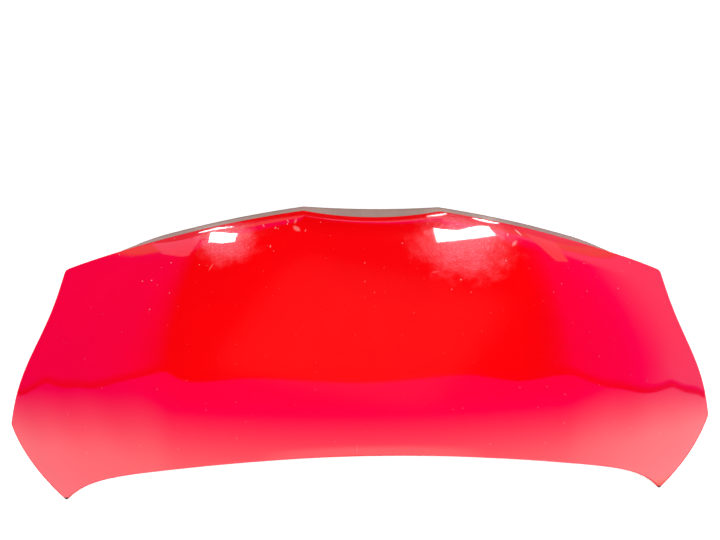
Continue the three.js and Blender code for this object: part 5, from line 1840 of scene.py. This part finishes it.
@dataclass
class Studio:
    """Pale floor, soft light and the lamps that show in the paint."""

    camera: PhotoCamera
    panel: PanelForm
    placed: Placement
    floor_half: float = 6.0
    floor_gap: float = 0.0006
    floor_white: Colour = (0.86, 0.86, 0.85, 1.0)
    floor_glow: float = 0.42
    glow_white: Colour = (1.0, 1.0, 0.985, 1.0)
    key_radiance: float = 4.3
    key_size: float = 2.2
    key_place: tuple[float, float, float] = (0.1, 0.25, 2.6)
    fill: Colour = (1.0, 1.0, 1.0, 1.0)
    fill_level: float = 0.30
    patches: tuple[LampPatch, ...] = (
        LampPatch("left_lamp", ((211, 232), (224, 232.6), (237.5, 233.6)), ((208.5, 242), (221, 243.2), (234.5, 242)),
                  34.0),
        LampPatch("right_lamp", ((433, 228), (443, 229), (457, 230.5), (467, 228), (477, 226), (488, 226)),
                  ((437, 242.5), (447, 241.5), (458, 240.5), (470, 239), (484, 237), (496, 235.5)), 34.0),
        LampPatch("left_wall", ((205, 233), (180, 238), (150, 243)), ((189, 256), (178, 256), (163, 254)),
                  2.0, 2.2, (1.0, 0.5, 0.85, 1.0)),
        LampPatch("right_wall", ((524, 232), (540, 237), (556, 243)), ((546, 252), (556, 261), (568, 262)),
                  1.6, 2.2, (1.0, 0.6, 0.8, 1.0)),
        LampPatch("left_rim", ((199, 232.4), (216, 228), (234, 226.2)), ((199, 233), (216, 229.6), (234, 226.8)),
                  26.0, 0.1),
        LampPatch("right_rim", ((473, 217.6), (486, 219.6), (499, 223)), ((473, 218.6), (486, 222.2), (499, 223.6)),
                  26.0, 0.1),
        LampPatch("peak_rim", ((427, 216), (437, 214.4), (447, 213)), ((427, 216.6), (437, 216), (447, 214)),
                  18.0, 0.1),
    )
    paint_view: Colour = (1.0, 0.45, 0.8, 1.0)
    floor_line: tuple[tuple[float, float], ...] = (
        (-1.80, 0.410), (-1.52, 0.281), (-1.306, 0.325), (-0.70, 0.166), (-0.47, 0.226), (-0.28, 0.191),
        (0.035, 0.218), (0.35, 0.181), (0.56, 0.240), (0.72, 0.216), (1.735, 0.461), (1.976, 0.434),
        (2.40, 0.610),
    )

    def build_floor(self) -> None:
        """A white floor just under the bonnet, which glows a little and still takes a shadow."""
        h, z = self.floor_half, -self.floor_gap
        mesh = bpy.data.meshes.new("studio_floor")
        mesh.from_pydata([(-h, -h, z), (h, -h, z), (h, h, z), (-h, h, z)], [], [(0, 1, 2, 3)])
        floor = bpy.data.objects.new("studio_floor", mesh)
        bpy.context.scene.collection.objects.link(floor)
        material, sheet = new_material("white_floor")
        x, y, _ = (sheet.add("ShaderNodeSeparateXYZ", None, {0: sheet.place()}, k) for k in range(3))
        far = ((x * x + y * y) ** 0.5).rise(0.95, 2.2)
        glow_level = self.floor_glow + far * (1.0 - self.floor_glow)
        plain = sheet.add("ShaderNodeBsdfDiffuse", None, {"Color": self.floor_white})
        glow = sheet.add("ShaderNodeEmission", None, {"Color": self.glow_white, "Strength": glow_level})
        lit = sheet.add("ShaderNodeAddShader", None, {0: plain, 1: glow})
        sides = 0.95 * x.rise(0.25, 0.5) + 0.5 * x.rise(-0.3, -0.5)
        ahead = y.rise(0.12, 0.3)
        level = (sides + 0.04) * ahead + 0.9 * (1.0 - ahead)
        dim = sheet.add("ShaderNodeEmission", None, {"Color": self.paint_view, "Strength": level})
        seen = sheet.add("ShaderNodeLightPath", output="Is Camera Ray")
        glossy = sheet.add("ShaderNodeLightPath", output="Is Glossy Ray")
        unseen = sheet.add("ShaderNodeMixShader", None, {0: glossy, 1: plain, 2: dim})
        mixed = sheet.add("ShaderNodeMixShader", None, {0: seen, 1: unseen, 2: lit})
        sheet.tree.links.new(mixed.socket, sheet.output.inputs["Surface"])
        mesh.materials.append(material)

    def build_world(self) -> None:
        """Surroundings by direction: dark overhead, bright low at the rear, white to the camera."""
        world = bpy.data.worlds.new("studio_world")
        bpy.context.scene.world = world
        sheet = NodeSheet(world)
        way = sheet.add("ShaderNodeTexCoord", output="Generated")
        x, y, z = (sheet.add("ShaderNodeSeparateXYZ", None, {0: way}, k) for k in range(3))
        up = z.most(0.02)
        rear = (0.0 - y) / up
        left = (0.0 - x) / up
        right = x / up
        beyond = rear - right.through(self.floor_line)
        floor_level = beyond.rise(-0.006, 0.012) * (1.0 + 1.9 * rear.rise(0.25, 1.1) * rear.rise(3.0, 2.2)
                                                    + 0.2 * left.rise(0.6, 1.0)
                                                    + 0.4 * right.rise(0.9, 1.9) * right.rise(3.8, 3.0))
        gap = 1.0 - 0.75 * beyond.rise(-0.10, -0.02)
        left_wall = 0.9 * left.rise(0.62, 1.1) * gap
        right_wall = (0.8 * right.rise(0.6, 0.95) + 0.9 * right.rise(1.0, 2.2) * right.rise(3.8, 3.0)) * gap
        level = floor_level.most(left_wall).most(right_wall)
        warm = ((level - 1.25) * 1.45).most(0.0).least(level)
        plain_way = rear.rise(1.9, 2.4).most(right.rise(3.0, 3.8)).most(left.rise(2.2, 3.0)).most(z.rise(0.05, -0.05))
        level = level * (1.0 - plain_way) + 0.75 * plain_way
        green = warm * (1.0 - plain_way) + level * plain_way
        tint = sheet.add("ShaderNodeCombineColor", None, {0: level, 1: green, 2: level})
        mirrored = sheet.add("ShaderNodeBackground", None, {"Color": tint, "Strength": 1.0})
        plain = sheet.add("ShaderNodeBackground", None, {"Color": self.fill, "Strength": self.fill_level})
        white = sheet.add("ShaderNodeBackground", None, {"Color": (1.0, 1.0, 1.0, 1.0), "Strength": 1.0})
        glossy = sheet.add("ShaderNodeLightPath", output="Is Glossy Ray")
        seen = sheet.add("ShaderNodeLightPath", output="Is Camera Ray")
        room = sheet.add("ShaderNodeMixShader", None, {0: glossy, 1: plain, 2: mirrored})
        mixed = sheet.add("ShaderNodeMixShader", None, {0: seen, 1: room, 2: white})
        sheet.tree.links.new(mixed.socket, sheet.output.inputs["Surface"])

    def build_key(self) -> None:
        """A soft key overhead that lights the paint but isn't mirrored in it."""
        data = bpy.data.lights.new("soft_key", "AREA")
        data.size = self.key_size
        data.energy = self.key_radiance * math.pi * self.key_size**2
        key = bpy.data.objects.new("soft_key", data)
        bpy.context.scene.collection.objects.link(key)
        key.location = self.key_place
        key.rotation_euler = Vector(self.key_place).to_track_quat("Z", "Y").to_euler()
        key.visible_camera = False
        key.visible_glossy = False

    def build_patches(self) -> None:
        """Lit sheets where the camera's rays through each patch's pixels head once the paint mirrors them."""
        for patch_lamp in self.patches:
            points = []
            for pixel in patch_lamp.pixels().reshape(-1, 2):
                point, way = self.camera.mirrored(pixel, self.panel, self.placed)
                points.append((point + way * patch_lamp.distance).tolist())
            quads = cells(grid_numbers(patch_lamp.columns, patch_lamp.rows)).reshape(-1, 4)
            mesh = bpy.data.meshes.new(patch_lamp.name)
            mesh.from_pydata(points, [], quads.tolist())
            lamp = bpy.data.objects.new(patch_lamp.name, mesh)
            bpy.context.scene.collection.objects.link(lamp)
            material, sheet = new_material(patch_lamp.name)
            glow = sheet.add("ShaderNodeEmission", None, {"Color": patch_lamp.tint, "Strength": patch_lamp.radiance})
            sheet.tree.links.new(glow.socket, sheet.output.inputs["Surface"])
            mesh.materials.append(material)
            lamp.visible_camera = False
            lamp.visible_diffuse = False
            lamp.visible_shadow = False
            log.info("%s: from %s", patch_lamp.name, np.round(points[0], 2).tolist())

    def build(self) -> None:
        """Sets up the whole studio."""
        self.build_floor()
        self.build_world()
        self.build_key()
        self.build_patches()
        bpy.context.scene.view_settings.view_transform = "Standard"


def main() -> None:
    """Builds the bonnet's sub-assemblies in order, then the camera and the studio."""
    logging.basicConfig(level=logging.INFO, format="%(name)s: %(message)s")
    panel = PanelForm()
    form = FrameForm(panel)
    placed = Placement.on_cad(panel)
    camera = PhotoCamera()
    zinc = ZincPlate().build()
    rubber = MouldedRubber().build()
    inner = InnerFrame(form, placed)
    OuterSkin(panel, placed).build(GlossRed(camera, panel, placed).build())
    HingeFixing(form, placed, inner).build(zinc)
    LatchFixing(form, placed, inner).build(zinc)
    RubberFittings(form, placed, inner).build(rubber)
    MasticPads(form, placed).build(SprayedMastic().build())
    inner.build(FramePrimer().build())
    camera.build()
    Studio(camera, panel, placed).build()


if __name__ == "__main__":
    main()
